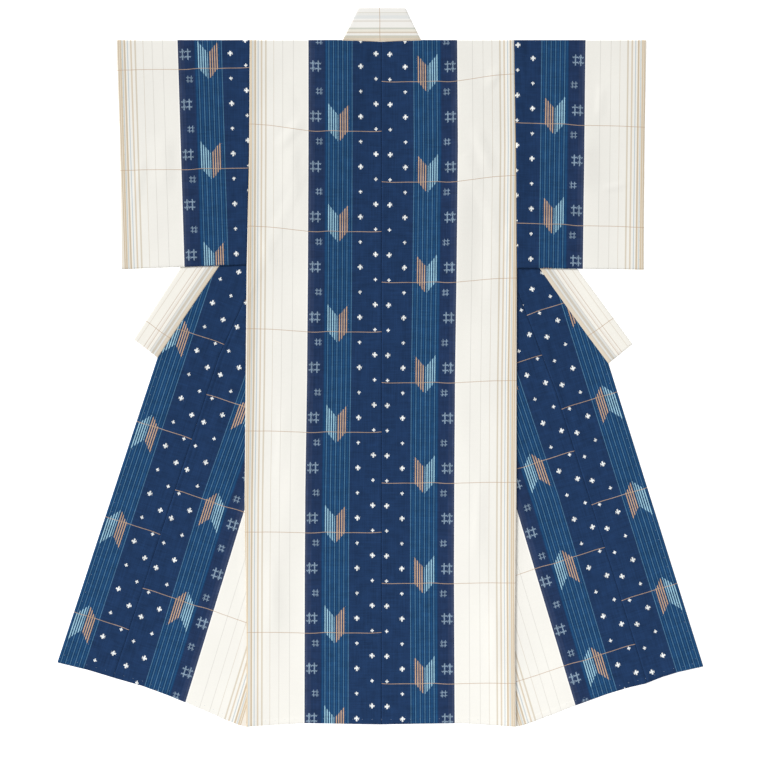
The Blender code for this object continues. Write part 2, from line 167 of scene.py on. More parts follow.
# Soft creases, as their ends to the right of the centre back and down from the shoulder, how wide the
# slopes on their left and right are on the way down, and how high they stand. A trough has a height below
# zero. Each fades out over this share of its length at either end
CREASE_END = 0.35
Crease = namedtuple("Crease", "x down x_end down_end left right height")
CREASES = (
    Crease(0.172, 0.200, 0.178, 0.700, 0.024, 0.054, 0.0025),
    Crease(0.262, 0.300, 0.258, 0.680, 0.030, 0.034, 0.0015),
    Crease(0.214, 0.190, 0.262, 0.320, 0.022, 0.024, 0.0019),
    Crease(0.245, 0.120, 0.282, 0.060, 0.014, 0.024, 0.0011),
    Crease(0.300, 0.420, 0.290, 0.520, 0.010, 0.016, 0.0009),
    Crease(-0.180, 0.178, -0.250, 0.262, 0.022, 0.020, 0.0015),
    Crease(-0.209, 0.215, -0.205, 0.390, 0.040, 0.018, 0.0014),
    Crease(-0.212, 0.105, -0.186, 0.165, 0.012, 0.012, -0.0007),
    Crease(-0.292, 0.420, -0.250, 0.560, 0.016, 0.024, 0.0010),
    Crease(-0.230, 0.840, -0.245, 1.060, 0.016, 0.028, 0.0009),
    Crease(-0.262, 1.180, -0.250, 1.420, 0.022, 0.026, 0.0009),
    Crease(0.235, 0.980, 0.218, 1.240, 0.016, 0.028, 0.0009),
    Crease(0.268, 1.300, 0.262, 1.520, 0.020, 0.022, 0.0008),
    Crease(0.466, 0.215, 0.470, 0.365, 0.022, 0.050, 0.0021),
    Crease(0.512, 0.350, 0.580, 0.338, 0.012, 0.014, 0.0010),
    Crease(0.516, 0.095, 0.508, 0.190, 0.012, 0.022, 0.0011),
    Crease(0.326, 0.022, 0.340, 0.145, 0.006, 0.012, 0.0009),
    Crease(0.366, 0.150, 0.350, 0.250, 0.008, 0.014, -0.0006),
    Crease(-0.512, 0.205, -0.508, 0.375, 0.045, 0.030, 0.0019),
    Crease(-0.560, 0.260, -0.585, 0.400, 0.014, 0.022, 0.0010),
    Crease(-0.420, 0.060, -0.450, 0.170, 0.010, 0.018, 0.0009),
    Crease(-0.300, 0.640, -0.418, 0.985, 0.010, 0.032, 0.0017),
    Crease(-0.352, 0.690, -0.500, 1.230, 0.014, 0.010, -0.0007),
    Crease(-0.470, 0.700, -0.560, 1.000, 0.014, 0.022, 0.0009),
    Crease(0.352, 0.600, 0.440, 0.960, 0.010, 0.022, 0.0012),
    Crease(0.378, 0.640, 0.470, 1.020, 0.008, 0.016, -0.0006),
    Crease(0.430, 1.150, 0.505, 1.420, 0.014, 0.024, 0.0009),
    Crease(-0.470, 1.260, -0.545, 1.440, 0.014, 0.024, 0.0008),
    Crease(-0.110, 0.500, -0.100, 0.720, 0.014, 0.022, 0.0006),
    Crease(0.105, 0.720, 0.112, 0.960, 0.014, 0.024, 0.0007),
    Crease(0.060, 1.280, 0.075, 1.480, 0.012, 0.020, 0.0006),
    Crease(-0.060, 1.120, -0.072, 1.380, 0.014, 0.022, 0.0006),
)

# The slow unevenness of cloth that was folded away and smoothed out again: wavelengths across and along,
# and height
Wave = namedtuple("Wave", "across along start height")
WAVES = (
    Wave(0.170, 0.610, 0.4, 0.00030),
    Wave(-0.230, 0.370, 1.9, 0.00028),
    Wave(0.095, 0.900, 3.1, 0.00016),
    Wave(0.310, -0.210, 5.0, 0.00022),
    Wave(-0.120, -0.170, 2.2, 0.00010),
)

# How the cloth is drawn: the mesh's pitch, the narrow strips along its edge, and its rolled edge and hem
BODY_PITCH = 0.006
RIM_STRIPS = (0.0006, 0.0012)
BESIDE_SEAM = (0.0040, 0.0068, 0.0094, 0.0120)
FOLD_STEPS = 6
SAME_POINT = 1e-6
NEAR_POINT = 0.0002
ROLLED_SHARE = 0.35
ROLL = 0.0018
WALL = 0.0010
HEM_DEPTH = 0.012
HEM_STEP = 0.001
HEM_EXTRA = 0.0003
HEM_LINES = (0.0040, HEM_DEPTH, HEM_DEPTH + HEM_STEP)
CLOSE = 0.004


def smooth(share):
    """From 0 to 1, level at both ends."""
    share = np.clip(share, 0.0, 1.0)
    return share * share * (3 - 2 * share)


def read_table(rows, side, where):
    """What a table gives for this side, read evenly between its rows."""
    return np.interp(where, [row[0] for row in rows], [getattr(row, side.name) for row in rows])


def pleat_start(side):
    """The pleat's lower end, at the foot of the side seam."""
    return np.array((read_table(SIDE_SEAM, side, BODY_LENGTH) - PLEAT_START, -BODY_LENGTH))


def pleat_square(side):
    """The direction square to the pleat, towards the part that is turned out."""
    turn = math.radians(side.turn)
    return np.array((-math.cos(turn), -math.sin(turn)))


def past_pleat(side, points):
    """How far points lie past the line of the pleat."""
    return (np.asarray(points) - pleat_start(side)) @ pleat_square(side)


def turned_out(side, points):
    """Where points of the closed front lie once the front is turned out."""
    moved = HALF_TURN - 2 * past_pleat(side, points)
    return np.asarray(points) + np.multiply.outer(moved, pleat_square(side))


def front_edge(side, up):
    """The seam between the front and the overlap panel, at a height measured from the shoulder."""
    above_bend = np.maximum(0.0, up + BODY_LENGTH - side.bend)
    return read_table(SIDE_SEAM, side, BODY_LENGTH) - side.front + above_bend * side.slope


def okumi_tip(side):
    """Where the overlap panel's free edge meets the collar."""
    return np.array((front_edge(side, -BODY_LENGTH) - side.okumi, side.tip - BODY_LENGTH))


def collar_seam(side, share):
    """Points of the closed collar seam, from the overlap panel's edge (0) to the neck (1)."""
    tip = okumi_tip(side)
    run = np.array((NECK_HALF, 0.0)) - tip
    square = np.array((run[1], -run[0])) / np.hypot(*run)
    share = np.asarray(share)
    bow = side.sag * 4 * share * (1 - share)
    return tip + np.multiply.outer(share, run) + np.multiply.outer(bow, square)


def share_where(side, height_over):
    """The share of the collar seam at which a value that only grows along it passes zero."""
    shares = np.linspace(0.0, 1.0, SEAM_SAMPLES)
    return float(np.interp(0.0, height_over(collar_seam(side, shares)), shares))


def okumi_top_share(side, gap=0.0):
    """Where along the collar seam the overlap panel ends in its point."""
    return share_where(side, lambda points: points[:, 0] - front_edge(side, points[:, 1]) + gap)


def pleat_top_share(side):
    """Where along the collar seam the pleat crosses it."""
    return share_where(side, lambda points: -past_pleat(side, points))


def front_hem(side, out):
    """Height of the closed front's hem at this distance out."""
    rows = FRONT_HEM[side.name] + (FrontHem(read_table(SIDE_SEAM, side, BODY_LENGTH), 0.0),)
    return np.interp(out, [row.out for row in rows], [row.rise for row in rows]) - BODY_LENGTH


def hem_outs(side, low, high):
    """The distances out of the corners of a stretch of the front's hem."""
    return [low] + [row.out for row in FRONT_HEM[side.name] if low + CLOSE < row.out < high - CLOSE]


def back_neckline(out):
    """Height of the back's neck edge at this distance out."""
    return -NECK_DIP * (1 - out / NECK_HALF)


def web_corner():
    """The inner corner of the web of collar under the back of the neck."""
    out = NECK_HALF - WEB
    return out, back_neckline(out) + SEAM_GAP


def turned_front_outline(side):
    """The front and its panel as they lie, turned out."""
    tip = okumi_tip(side)
    corners = [(tip[0], front_hem(side, tip[0])), tip, collar_seam(side, pleat_top_share(side))]
    return np.array([pleat_start(side)] + [turned_out(side, corner) for corner in corners])


def band_outline(side):
    """One long end of the collar, made convex."""
    (end_out, end_down), (curve_out, curve_down) = side.end, side.curve
    chord = NECK_HALF + (end_out - NECK_HALF) * curve_down / end_down
    tip = turned_out(side, okumi_tip(side))
    top = turned_out(side, collar_seam(side, pleat_top_share(side)))
    run = (top - tip) / np.hypot(*(top - tip))
    bow = np.array((run[1], -run[0])) * -max(0.0, side.sag)
    curve = (max(curve_out, chord + BULGE), -curve_down)
    return np.array([tip + bow, (end_out, -end_down), curve, (NECK_HALF, 0.0), web_corner(), top + bow])


def closed_front_outline(side):
    """The part of the front that stays under the back."""
    return np.array(
        [
            (read_table(SIDE_SEAM, side, 0.0), 0.0),
            (NECK_HALF, 0.0),
            collar_seam(side, pleat_top_share(side)),
            pleat_start(side),
            (read_table(SIDE_SEAM, side, BODY_LENGTH), -BODY_LENGTH),
        ]
    )


def cover(outline, out, up):
    """1 over a convex outline and just around it, falling to 0 at the foot of the ramp."""
    middle = outline.mean(axis=0)
    outside = np.full(np.shape(out), -1.0)
    for start, end in zip(outline, np.roll(outline, -1, axis=0)):
        square = np.array((end[1] - start[1], start[0] - end[0])) / np.hypot(*(end - start))
        if (middle - start) @ square > 0:
            square = -square
        outside = np.maximum(outside, (out - start[0]) * square[0] + (up - start[1]) * square[1])
    return 1 - smooth((outside - SHOULDER_OF_RAMP) / (FOOT_OF_RAMP - SHOULDER_OF_RAMP))


class Stack:
    """Heights of the middle of each layer over the surface, for one side of the garment."""

    def __init__(self, side):
        self.side = side
        self.turned_front = turned_front_outline(side)
        self.band = band_outline(side)
        self.closed_front = closed_front_outline(side)

    def lowest_lift(self, out, up):
        """How far the turned-out front and the collar lift what lies on them."""
        over_front = cover(self.turned_front, out, up) * LAYER_LIFT
        return np.maximum(over_front, cover(self.band, out, up) * BAND_LIFT)

    def swell(self, piece, out, down):
        total = np.zeros(np.shape(out))
        for row in SWELLS:
            if row.piece == piece and row.side == self.side.name:
                across = smooth(1 - abs(out - row.out) / row.half_out)
                total = total + row.height * across * smooth(1 - abs(down - row.down) / row.half_down)
        return total

    def side_lift(self, out, up):
        """How far the folded-in seam allowances lift the cloth beside the side seam."""
        beside = abs(out - read_table(SIDE_SEAM, self.side, -up))
        return SIDE_LIFT * (1 - smooth((beside - SIDE_LIFT_LEVEL) / (SIDE_LIFT_REACH - SIDE_LIFT_LEVEL)))

    def under_layer(self, out, up):
        """The front half of the sleeve, or the closed part of the front."""
        return CLOTH / 2 + self.lowest_lift(out, up)

    def sleeve_top(self, out, up):
        raised = self.swell("sleeve", out, -up) + self.side_lift(out, up)
        return self.under_layer(out, up) + LAYER_LIFT + raised

    def back(self, out, up):
        lift = self.lowest_lift(out, up)
        stacked = cover(self.closed_front, out, up) * (lift + LAYER_LIFT)
        raised = self.swell("body", out, -up) + self.side_lift(out, up)
        return CLOTH / 2 + np.maximum(lift, stacked) + raised


def bent(distance):
    """How far cloth goes past a fold line, and its share of the way from the first layer to the second."""
    angle = np.clip(distance / BEND, 0.0, math.pi)
    past = np.where(distance >= HALF_TURN, HALF_TURN - distance, BEND * np.sin(angle))
    return np.where(distance <= 0, distance, past), (1 - np.cos(angle)) / 2


def body_place(stack):
    """The body length: the back lies at negative along, and the front at positive along."""
    side = stack.side
    square = pleat_square(side)

    def place(out, along):
        up, over_shoulder = bent(along)
        low_up = np.minimum(up, 0.0)
        top = stack.back(out, low_up)
        under = stack.under_layer(out, low_up)
        back = np.stack([out, up, top + over_shoulder * (under - top)], axis=1)
        past = past_pleat(side, np.stack([out, up], axis=1))
        beyond, over_pleat = bent(past)
        moved = beyond - past
        pulled = np.maximum(past, 0.0)
        under = stack.under_layer(out - square[0] * pulled, up - square[1] * pulled)
        low = CLOTH / 2 + np.where(over_pleat == 1, stack.swell("flap", out, -up), 0.0)
        height = under + over_pleat * (low - under)
        front = np.stack([out + square[0] * moved, up + square[1] * moved, height], axis=1)
        return np.where((over_shoulder < 1)[:, None], back, front)

    return place


def along_line(x, up, start, end):
    """The share of a line's length at which each point lies, and how far to its left or right it is."""
    run = np.subtract(end, start)
    length = np.hypot(*run)
    share = ((x - start[0]) * run[0] + (up - start[1]) * run[1]) / length**2
    return share, ((x - start[0]) * run[1] - (up - start[1]) * run[0]) / length


def beside_line(line, x, up):
    """How far each point is from a line of several straight runs, above zero on its right-hand side."""
    nearest = np.full(np.shape(x), np.inf)
    for start, end in zip(line, line[1:]):
        share, beside = along_line(x, up, start, end)
        share = np.clip(share, 0.0, 1.0)
        gap_x = x - start[0] - share * (end[0] - start[0])
        gap = np.hypot(gap_x, up - start[1] - share * (end[1] - start[1]))
        nearest = np.where(gap < abs(nearest), np.copysign(gap, beside), nearest)
    return nearest


def distance_to(line, x, up):
    return abs(beside_line(line, x, up))


def okumi_seam(side):
    """The seam between a turned-out front and its overlap panel, as it lies, from the hem upwards."""
    ups = (-BODY_LENGTH, side.bend - BODY_LENGTH, float(collar_seam(side, okumi_top_share(side))[1]))
    closed = [(float(front_edge(side, up)), up) for up in ups]
    return [(side.sign * out, up) for out, up in turned_out(side, closed)]


def seam_lines():
    """The seams that show, as they lie: the centre back, the side seams and the overlap panels' seams."""
    lines = [[(0.0, -NECK_DIP), (0.0, -BODY_LENGTH)]]
    for side in SIDES:
        lines.append([(side.sign * read_table(SIDE_SEAM, side, row.down), -row.down) for row in SIDE_SEAM])
        lines.append(okumi_seam(side))
    return lines


SEAMS = seam_lines()
TUCK_SEAM = next(okumi_seam(side) for side in SIDES if side.name == TUCK_SIDE)


def relief(x, up):
    """How much the whole stack of cloth is raised. Every layer has the same, so that none cuts another."""
    total = np.full(np.shape(x), sum(wave.height for wave in WAVES))
    for wave in WAVES:
        turns = x / wave.across + up / wave.along
        total = total + wave.height * np.sin(2 * math.pi * turns + wave.start)
    for line in SEAMS:
        gap = distance_to(line, x, up)
        falling = 1 - smooth((gap - SEAM_PEAK) / (SEAM_FOOT - SEAM_PEAK))
        total += SEAM_RIDGE * smooth(gap / SEAM_PEAK) * falling
    groove = 1 - smooth(abs(beside_line(TUCK_SEAM, x, up) - TUCK_BESIDE) / TUCK_HALF)
    length = smooth((-up - TUCK_TOP) / TUCK_FADE) * smooth((TUCK_FOOT + up) / TUCK_FADE)
    total -= TUCK_DEPTH * groove * length
    for row in CREASES:
        share, beside = along_line(x, up, (row.x, -row.down), (row.x_end, -row.down_end))
        slope = np.where(beside > 0, row.left, row.right)
        ends = smooth(share / CREASE_END) * smooth((1 - share) / CREASE_END)
        total += row.height * (1 - smooth(abs(beside) / slope)) * ends
    return np.maximum(total, 0.0)


def put(name, data):
    """Puts an object with this data into the scene."""
    made = bpy.data.objects.new(name, data)
    bpy.context.scene.collection.objects.link(made)
    return made


def score(sheet, point, square, parts=None):
    """Splits a flat sheet, or some parts of it, along the line through a point square to a direction."""
    cut = bmesh.ops.bisect_plane(
        sheet,
        geom=parts or sheet.faces[:] + sheet.edges[:] + sheet.verts[:],
        dist=SAME_POINT,
        plane_co=(point[0], point[1], 0.0),
        plane_no=(square[0], square[1], 0.0),
    )
    return cut["geom"]


def score_beside(sheet, line, distances, pitch):
    """Splits a sheet along lines that run beside a hem or a seam, at these distances from it."""
    for start, end in zip(line, line[1:]):
        length = math.dist(start, end)
        run = np.subtract(end, start) / length
        square = np.array((-run[1], run[0]))
        faces = sheet.faces[:]
        away = np.array([face.calc_center_bounds()[:2] for face in faces]) - start
        near = abs(away @ square) < max(distances) + pitch
        near &= abs(away @ run - length / 2) < length / 2 + pitch
        near_faces = [faces[index] for index in np.flatnonzero(near)]
        edges = {edge for face in near_faces for edge in face.edges}
        parts = near_faces + list(edges) + list({vert for edge in edges for vert in edge.verts})
        for distance in distances:
            for offset in (distance, -distance):
                parts = score(sheet, np.add(start, square * offset), square, parts)


def cut_sheet(outline, pitch, folds, hems=(), seams=()):
    """A flat sheet cut to its outline, with narrow strips along its edge and a grid of lines across it."""
    sheet = bmesh.new()
    face = sheet.faces.new([sheet.verts.new((point[0], point[1], 0.0)) for point in outline])
    for width in RIM_STRIPS:
        bmesh.ops.inset_region(sheet, faces=[face], thickness=width, use_boundary=True, use_even_offset=True)
    lows, highs = np.min(outline, axis=0), np.max(outline, axis=0)
    for point, square in folds:
        score(sheet, point, square)
    for axis, square in ((1, (0.0, 1.0)), (0, (1.0, 0.0))):
        count = round((highs[axis] - lows[axis]) / pitch)
        for place in np.linspace(lows[axis], highs[axis], count + 1)[1:-1]:
            score(sheet, (place, place), square)
    for hem in hems:
        score_beside(sheet, hem, HEM_LINES, pitch)
    for seam in seams:
        score_beside(sheet, seam, BESIDE_SEAM, pitch)
    bmesh.ops.remove_doubles(sheet, verts=sheet.verts[:], dist=NEAR_POINT)
    bmesh.ops.dissolve_degenerate(sheet, edges=sheet.edges[:], dist=NEAR_POINT)
    bmesh.ops.triangulate(sheet, faces=[face for face in sheet.faces if len(face.verts) > 4])
    return sheet


def cloth_piece(name, sheet, place, sign, wall, outline, hems, pattern, material):
    """Lays a flat sheet in its place, raises it, and gives it its thickness and its cloth map."""
    flat = np.array([vert.co[:2] for vert in sheet.verts])
    faces = [[vert.index for vert in face.verts] for face in sheet.faces]
    rim = [(edge.link_loops[0].vert.index, edge.link_loops[0].link_loop_next.vert.index)
           for edge in sheet.edges if edge.is_boundary]
    sheet.free()
    middle = place(flat[:, 0], flat[:, 1]) * (sign, 1.0, 1.0)
    middle[:, 2] += relief(middle[:, 0], middle[:, 1])
    if sign < 0:
        faces = [face[::-1] for face in faces]
        rim = [(second, first) for first, second in rim]
    middle_mesh = bpy.data.meshes.new(name + "_middle")
    middle_mesh.from_pydata(middle, [], faces)
    normals = np.empty(len(flat) * 3)
    middle_mesh.vertex_normals.foreach_get("vector", normals)
    bpy.data.meshes.remove(middle_mesh)
    edge_gap = distance_to(list(outline) + [outline[0]], flat[:, 0], flat[:, 1])
    half = wall / 2 * (ROLLED_SHARE + (1 - ROLLED_SHARE) * smooth(edge_gap / ROLL))
    for hem in hems:
        hem_gap = distance_to(hem, flat[:, 0], flat[:, 1])
        half += HEM_EXTRA / 2 * (1 - smooth((hem_gap - HEM_DEPTH) / HEM_STEP)) * smooth(edge_gap / ROLL)
    offset = normals.reshape(-1, 3) * half[:, None]
    middle += (CENTRE_X, SHOULDER_Y, 0.0)
    count = len(flat)
    shell = faces + [[index + count for index in reversed(face)] for face in faces]
    shell += [[second, first, first + count, second + count] for first, second in rim]
    mesh = bpy.data.meshes.new(name)
    mesh.from_pydata(np.concatenate([middle + offset, middle - offset]), [], shell)
    mesh.shade_smooth()
    across, along = pattern(flat[:, 0], flat[:, 1])
    corners = np.empty(len(mesh.loops), dtype=np.int32)
    mesh.loops.foreach_get("vertex_index", corners)
    cloth_map = mesh.uv_layers.new(name="cloth")
    cloth_map.data.foreach_set("uv", np.stack([across, along], axis=1)[corners % count].ravel())
    mesh.materials.append(material)
    return put(name, mesh)


def linear(hex_colour):
    """An sRGB hex colour as the linear numbers of a shader."""
    channels = [int(hex_colour[place : place + 2], 16) / 255 for place in (1, 3, 5)]
    return (*(c / 12.92 if c <= 0.04045 else ((c + 0.055) / 1.055) ** 2.4 for c in channels), 1.0)


def add(tree, kind, inputs=None, **settings):
    """Adds a node with its settings, sets or links its inputs, and gives back its first output in use."""
    node = tree.nodes.new(kind)
    for name, value in settings.items():
        setattr(node, name, value)
    for key, value in (inputs or {}).items():
        named = [socket for socket in node.inputs if socket.enabled and socket.name == key]
        socket = node.inputs[key] if isinstance(key, int) else named[0]
        if isinstance(value, bpy.types.NodeSocket):
            tree.links.new(value, socket)
        else:
            socket.default_value = value
    return next((socket for socket in node.outputs if socket.enabled), None)


def calc(tree, operation, *values):
    """One step of arithmetic in a shader."""
    return add(tree, "ShaderNodeMath", dict(enumerate(values)), operation=operation)


def plain_material(name, inputs):
    """A material that is one shader with these inputs."""
    material = bpy.data.materials.new(name)
    material.use_nodes = True
    for key, value in inputs.items():
        material.node_tree.nodes["Principled BSDF"].inputs[key].default_value = value
    return material


# The cloth: its bands, from the selvage at the centre back outwards, in metres
SELVAGE = 0.3185
INNER_BAND = 0.0732
TEAL_BAND = 0.1370
OUTER_BAND = 0.1763
INNER_NAVY = "#1e375c"
TEAL = "#193c64"
OUTER_NAVY = "#213558"
PALER_NAVY = "#2b3b5c"
PALER_WIDTH = 0.0150
FADED_NAVY = "#384562"
FADED_WIDTH = 0.0062
CREAM = "#f2f0e9"
CORD_WHITE = "#fdfbf6"
CORD_WIDTH = 0.0022

# Fine warp lines in the cream, as distances past the navy. They crowd towards the edge, which is tan
Line = namedtuple("Line", "past width colour")
CREAM_LINES = (
    Line(0.0350, 0.0016, "#dbd9d2"),
    Line(0.0605, 0.0016, "#dcd9d1"),
    Line(0.0810, 0.0019, "#dbd4c7"),
    Line(0.1000, 0.0030, "#d9d0bf"),
    Line(0.1097, 0.0040, "#dccfbb"),
    Line(0.1180, 0.0034, "#c9d1d4"),
    Line(0.1250, 0.0040, "#cfbea4"),
    Line(0.1307, 0.0028, "#ccd3d3"),
    Line(0.1348, 0.0036, "#d6c5aa"),
    Line(0.1392, 0.0034, "#d0bea2"),
)
EDGE_CREAM = "#ece5d9"
EDGE_CREAM_PAST = 0.1215

# Pale warp lines in the teal band, and softer blue ones between them
TEAL_LINE_PITCH = 0.0109
TEAL_LINE_START = 0.0010
TEAL_LINE_HALF = 0.0008
TEAL_LINE = "#547f9c"
BLUE_LINE_HALF = 0.0015
BLUE_LINE = "#22517b"
TEAL_LINE_COVER = 0.85
BLUE_LINE_COVER = 0.70

# The figures, tied and dyed into the yarn before weaving: small crosses beside the centre back, an arrow
# feather in the teal band and a well crib in the outer band. Figures repeat along the cloth, and the yarn
# slips a little
REPEAT = 0.2357
CROSS_COLUMN = 0.036
CROSS_PITCH = REPEAT / 4
CROSS_HALF_LENGTH = 0.0058
CROSS_HALF_WIDTH = 0.0019
SMALL_CROSS = 0.68
CROSS_WHITE = "#eef1ef"
CROSS_COVER = 1.0
FEATHER_CENTRE = 0.1055
FEATHER_HALF_WIDTH = 0.0245
FEATHER_RIB = 0.0014
FEATHER_SLANT = 1.15
FEATHER_LENGTH = 0.062
FEATHER_YARN_HALF = 0.0013
FEATHER_BLUE = "#9fcadb"
FEATHER_TAN = "#c9a88a"
FEATHER_COVER = 0.94
CRIB_CENTRE = 0.1555
CRIB_PITCH = REPEAT / 4
CRIB_STEP_OUT = 0.0085
CRIB_BAR = 0.0062
CRIB_BAR_HALF = 0.0014
CRIB_HALF_LENGTH = 0.0130
SMALL_CRIB = 0.62
CRIB_BLUE = "#8fa5b8"
CRIB_COVER = 0.85
YARN_SLIP = 0.0060
YARN_SLIP_ACROSS = 0.0014
YARN_WIDTH = 0.0018

# Single tan wefts that cross the whole width
TAN_WEFT_HALF = 0.00075
TAN_WEFT_WANDER = 0.009
TAN_WEFT_BENDS = 9.0
TAN_WEFT = "#bfa387"
TAN_WEFT_COVER = 0.75

# Real threads are 0.4 mm apart. The weave is drawn at 2 mm, because nothing finer shows in the render
THREAD_PITCH = 0.002
WEAVE_DEPTH = 0.00007
SLUB_LENGTH = 0.045
SLUB_WIDTH = 0.0032
WARP_STREAK = 0.070
CLOUDS_PER_METRE = 45.0
DYED_MOTTLE = 0.58
CREAM_MOTTLE = 0.016
SLUB_RAISE = 2.0
FINE_YARN_ROUGHNESS = 0.78
THICK_YARN_ROUGHNESS = 0.94
NOISE_MIDDLE = 0.5


def roll_stops():
    """Where each colour of the roll starts, from the selvage at the centre back to the other one."""
    stops = [
        (0.0, INNER_NAVY),
        (INNER_BAND, TEAL),
        (TEAL_BAND, OUTER_NAVY),
        (OUTER_BAND - PALER_WIDTH, PALER_NAVY),
        (OUTER_BAND - FADED_WIDTH, FADED_NAVY),
        (OUTER_BAND, CORD_WHITE),
        (OUTER_BAND + CORD_WIDTH, CREAM),
    ]
    for line in CREAM_LINES:
        middle = OUTER_BAND + line.past
        between = EDGE_CREAM if line.past > EDGE_CREAM_PAST else CREAM
        stops += [(middle - line.width / 2, line.colour), (middle + line.width / 2, between)]
    return stops


def to_lines(tree, along_it, pitch):
    """How far each point is from the nearest of a row of lines, at this pitch and starting at zero."""
    return calc(tree, "PINGPONG", along_it, pitch / 2)


def every_second(tree, along_it, pitch):
    """0 and 1 by turns, from one figure of a column to the next."""
    turn = calc(tree, "MULTIPLY_ADD", along_it, 1 / pitch, 0.5)
    turn = calc(tree, "FLOOR", turn)
    return calc(tree, "PINGPONG", turn, 1.0)


def slipped(tree, yarns, slip, place):
    """A place that slides a little from yarn to yarn, as tied and dyed yarns do on the loom."""
    yarn = calc(tree, "MULTIPLY", yarns, 1 / YARN_WIDTH)
    noise = {"W": yarn, "Scale": 1.0, "Detail": 0.0}
    slide = add(tree, "ShaderNodeTexNoise", noise, noise_dimensions="1D")
    slide = calc(tree, "SUBTRACT", slide, NOISE_MIDDLE)
    return calc(tree, "MULTIPLY_ADD", slide, slip, place)


def small_crosses(tree, across, set_out, dyed):
    """Crosses in two columns beside the selvage, half a step apart, a small one after each large one."""
    column = calc(tree, "MULTIPLY", set_out, 1 / CROSS_COLUMN)
    column = calc(tree, "FLOOR", column)
    stepped = calc(tree, "MULTIPLY_ADD", column, CROSS_PITCH / 2, dyed)
    middle = calc(tree, "ADD", set_out, CROSS_COLUMN / 2)
    large = every_second(tree, stepped, CROSS_PITCH)
    size = calc(tree, "MULTIPLY_ADD", large, 1 - SMALL_CROSS, SMALL_CROSS)
    across_it = to_lines(tree, middle, CROSS_COLUMN)
    across_it = calc(tree, "DIVIDE", across_it, size)
    along_it = to_lines(tree, stepped, CROSS_PITCH)
    along_it = calc(tree, "DIVIDE", along_it, size)
    thin = calc(tree, "MINIMUM", across_it, along_it)
    thin = calc(tree, "LESS_THAN", thin, CROSS_HALF_WIDTH)
    long = calc(tree, "MAXIMUM", across_it, along_it)
    long = calc(tree, "LESS_THAN", long, CROSS_HALF_LENGTH)
    cross = calc(tree, "MULTIPLY", thin, long)
    near_selvage = calc(tree, "LESS_THAN", across, INNER_BAND)
    return calc(tree, "MULTIPLY", cross, near_selvage)


def arrow_feathers(tree, set_out, dyed, from_teal):
    """Two slanting halves either side of a bare rib, with every second yarn dyed, and their colour."""
    beside = calc(tree, "SUBTRACT", set_out, FEATHER_CENTRE)
    tan_side = calc(tree, "LESS_THAN", beside, 0.0)
    shade = {"Factor": tan_side, "A": linear(FEATHER_BLUE), "B": linear(FEATHER_TAN)}
    shade = add(tree, "ShaderNodeMix", shade, data_type="RGBA")
    beside = calc(tree, "ABSOLUTE", beside)
    slanted = calc(tree, "MULTIPLY_ADD", beside, -FEATHER_SLANT, dyed)
    in_length = calc(tree, "LESS_THAN", to_lines(tree, slanted, REPEAT), FEATHER_LENGTH / 2)
    vane_middle = (FEATHER_HALF_WIDTH + FEATHER_RIB) / 2
    vane_half = (FEATHER_HALF_WIDTH - FEATHER_RIB) / 2
    in_width = calc(tree, "COMPARE", beside, vane_middle, vane_half)
    feather = calc(tree, "MULTIPLY", in_length, in_width)
    tied = to_lines(tree, from_teal, TEAL_LINE_PITCH / 2)
    tied = calc(tree, "LESS_THAN", tied, FEATHER_YARN_HALF)
    return calc(tree, "MULTIPLY", feather, tied), shade


def well_cribs(tree, set_out, dyed):
    """Two bars across two bars, a small one after each large one and set further in."""
    along_it = calc(tree, "ADD", dyed, CRIB_PITCH / 2)
    large = every_second(tree, along_it, CRIB_PITCH)
    size = calc(tree, "MULTIPLY_ADD", large, 1 - SMALL_CRIB, SMALL_CRIB)
    along_it = to_lines(tree, along_it, CRIB_PITCH)
    along_it = calc(tree, "DIVIDE", along_it, size)
    across_it = calc(tree, "SUBTRACT", set_out, CRIB_CENTRE - CRIB_STEP_OUT / 2)
    across_it = calc(tree, "MULTIPLY_ADD", large, -CRIB_STEP_OUT, across_it)
    across_it = calc(tree, "ABSOLUTE", across_it)
    across_it = calc(tree, "DIVIDE", across_it, size)
    upright = calc(tree, "COMPARE", across_it, CRIB_BAR, CRIB_BAR_HALF)
    level = calc(tree, "COMPARE", along_it, CRIB_BAR, CRIB_BAR_HALF)
    bars = calc(tree, "MAXIMUM", upright, level)
    reach = calc(tree, "MAXIMUM", across_it, along_it)
    reach = calc(tree, "LESS_THAN", reach, CRIB_HALF_LENGTH)
    return calc(tree, "MULTIPLY", bars, reach)


def tan_wefts(tree, across, along):
    """Single wefts across the whole cloth, which wander as the beater leaves them."""
    noise = {"W": across, "Scale": TAN_WEFT_BENDS, "Detail": 1.0}
    wander = add(tree, "ShaderNodeTexNoise", noise, noise_dimensions="1D")
    beaten = calc(tree, "MULTIPLY_ADD", wander, TAN_WEFT_WANDER, along)
    to_weft = to_lines(tree, beaten, REPEAT)
    return calc(tree, "LESS_THAN", to_weft, TAN_WEFT_HALF)


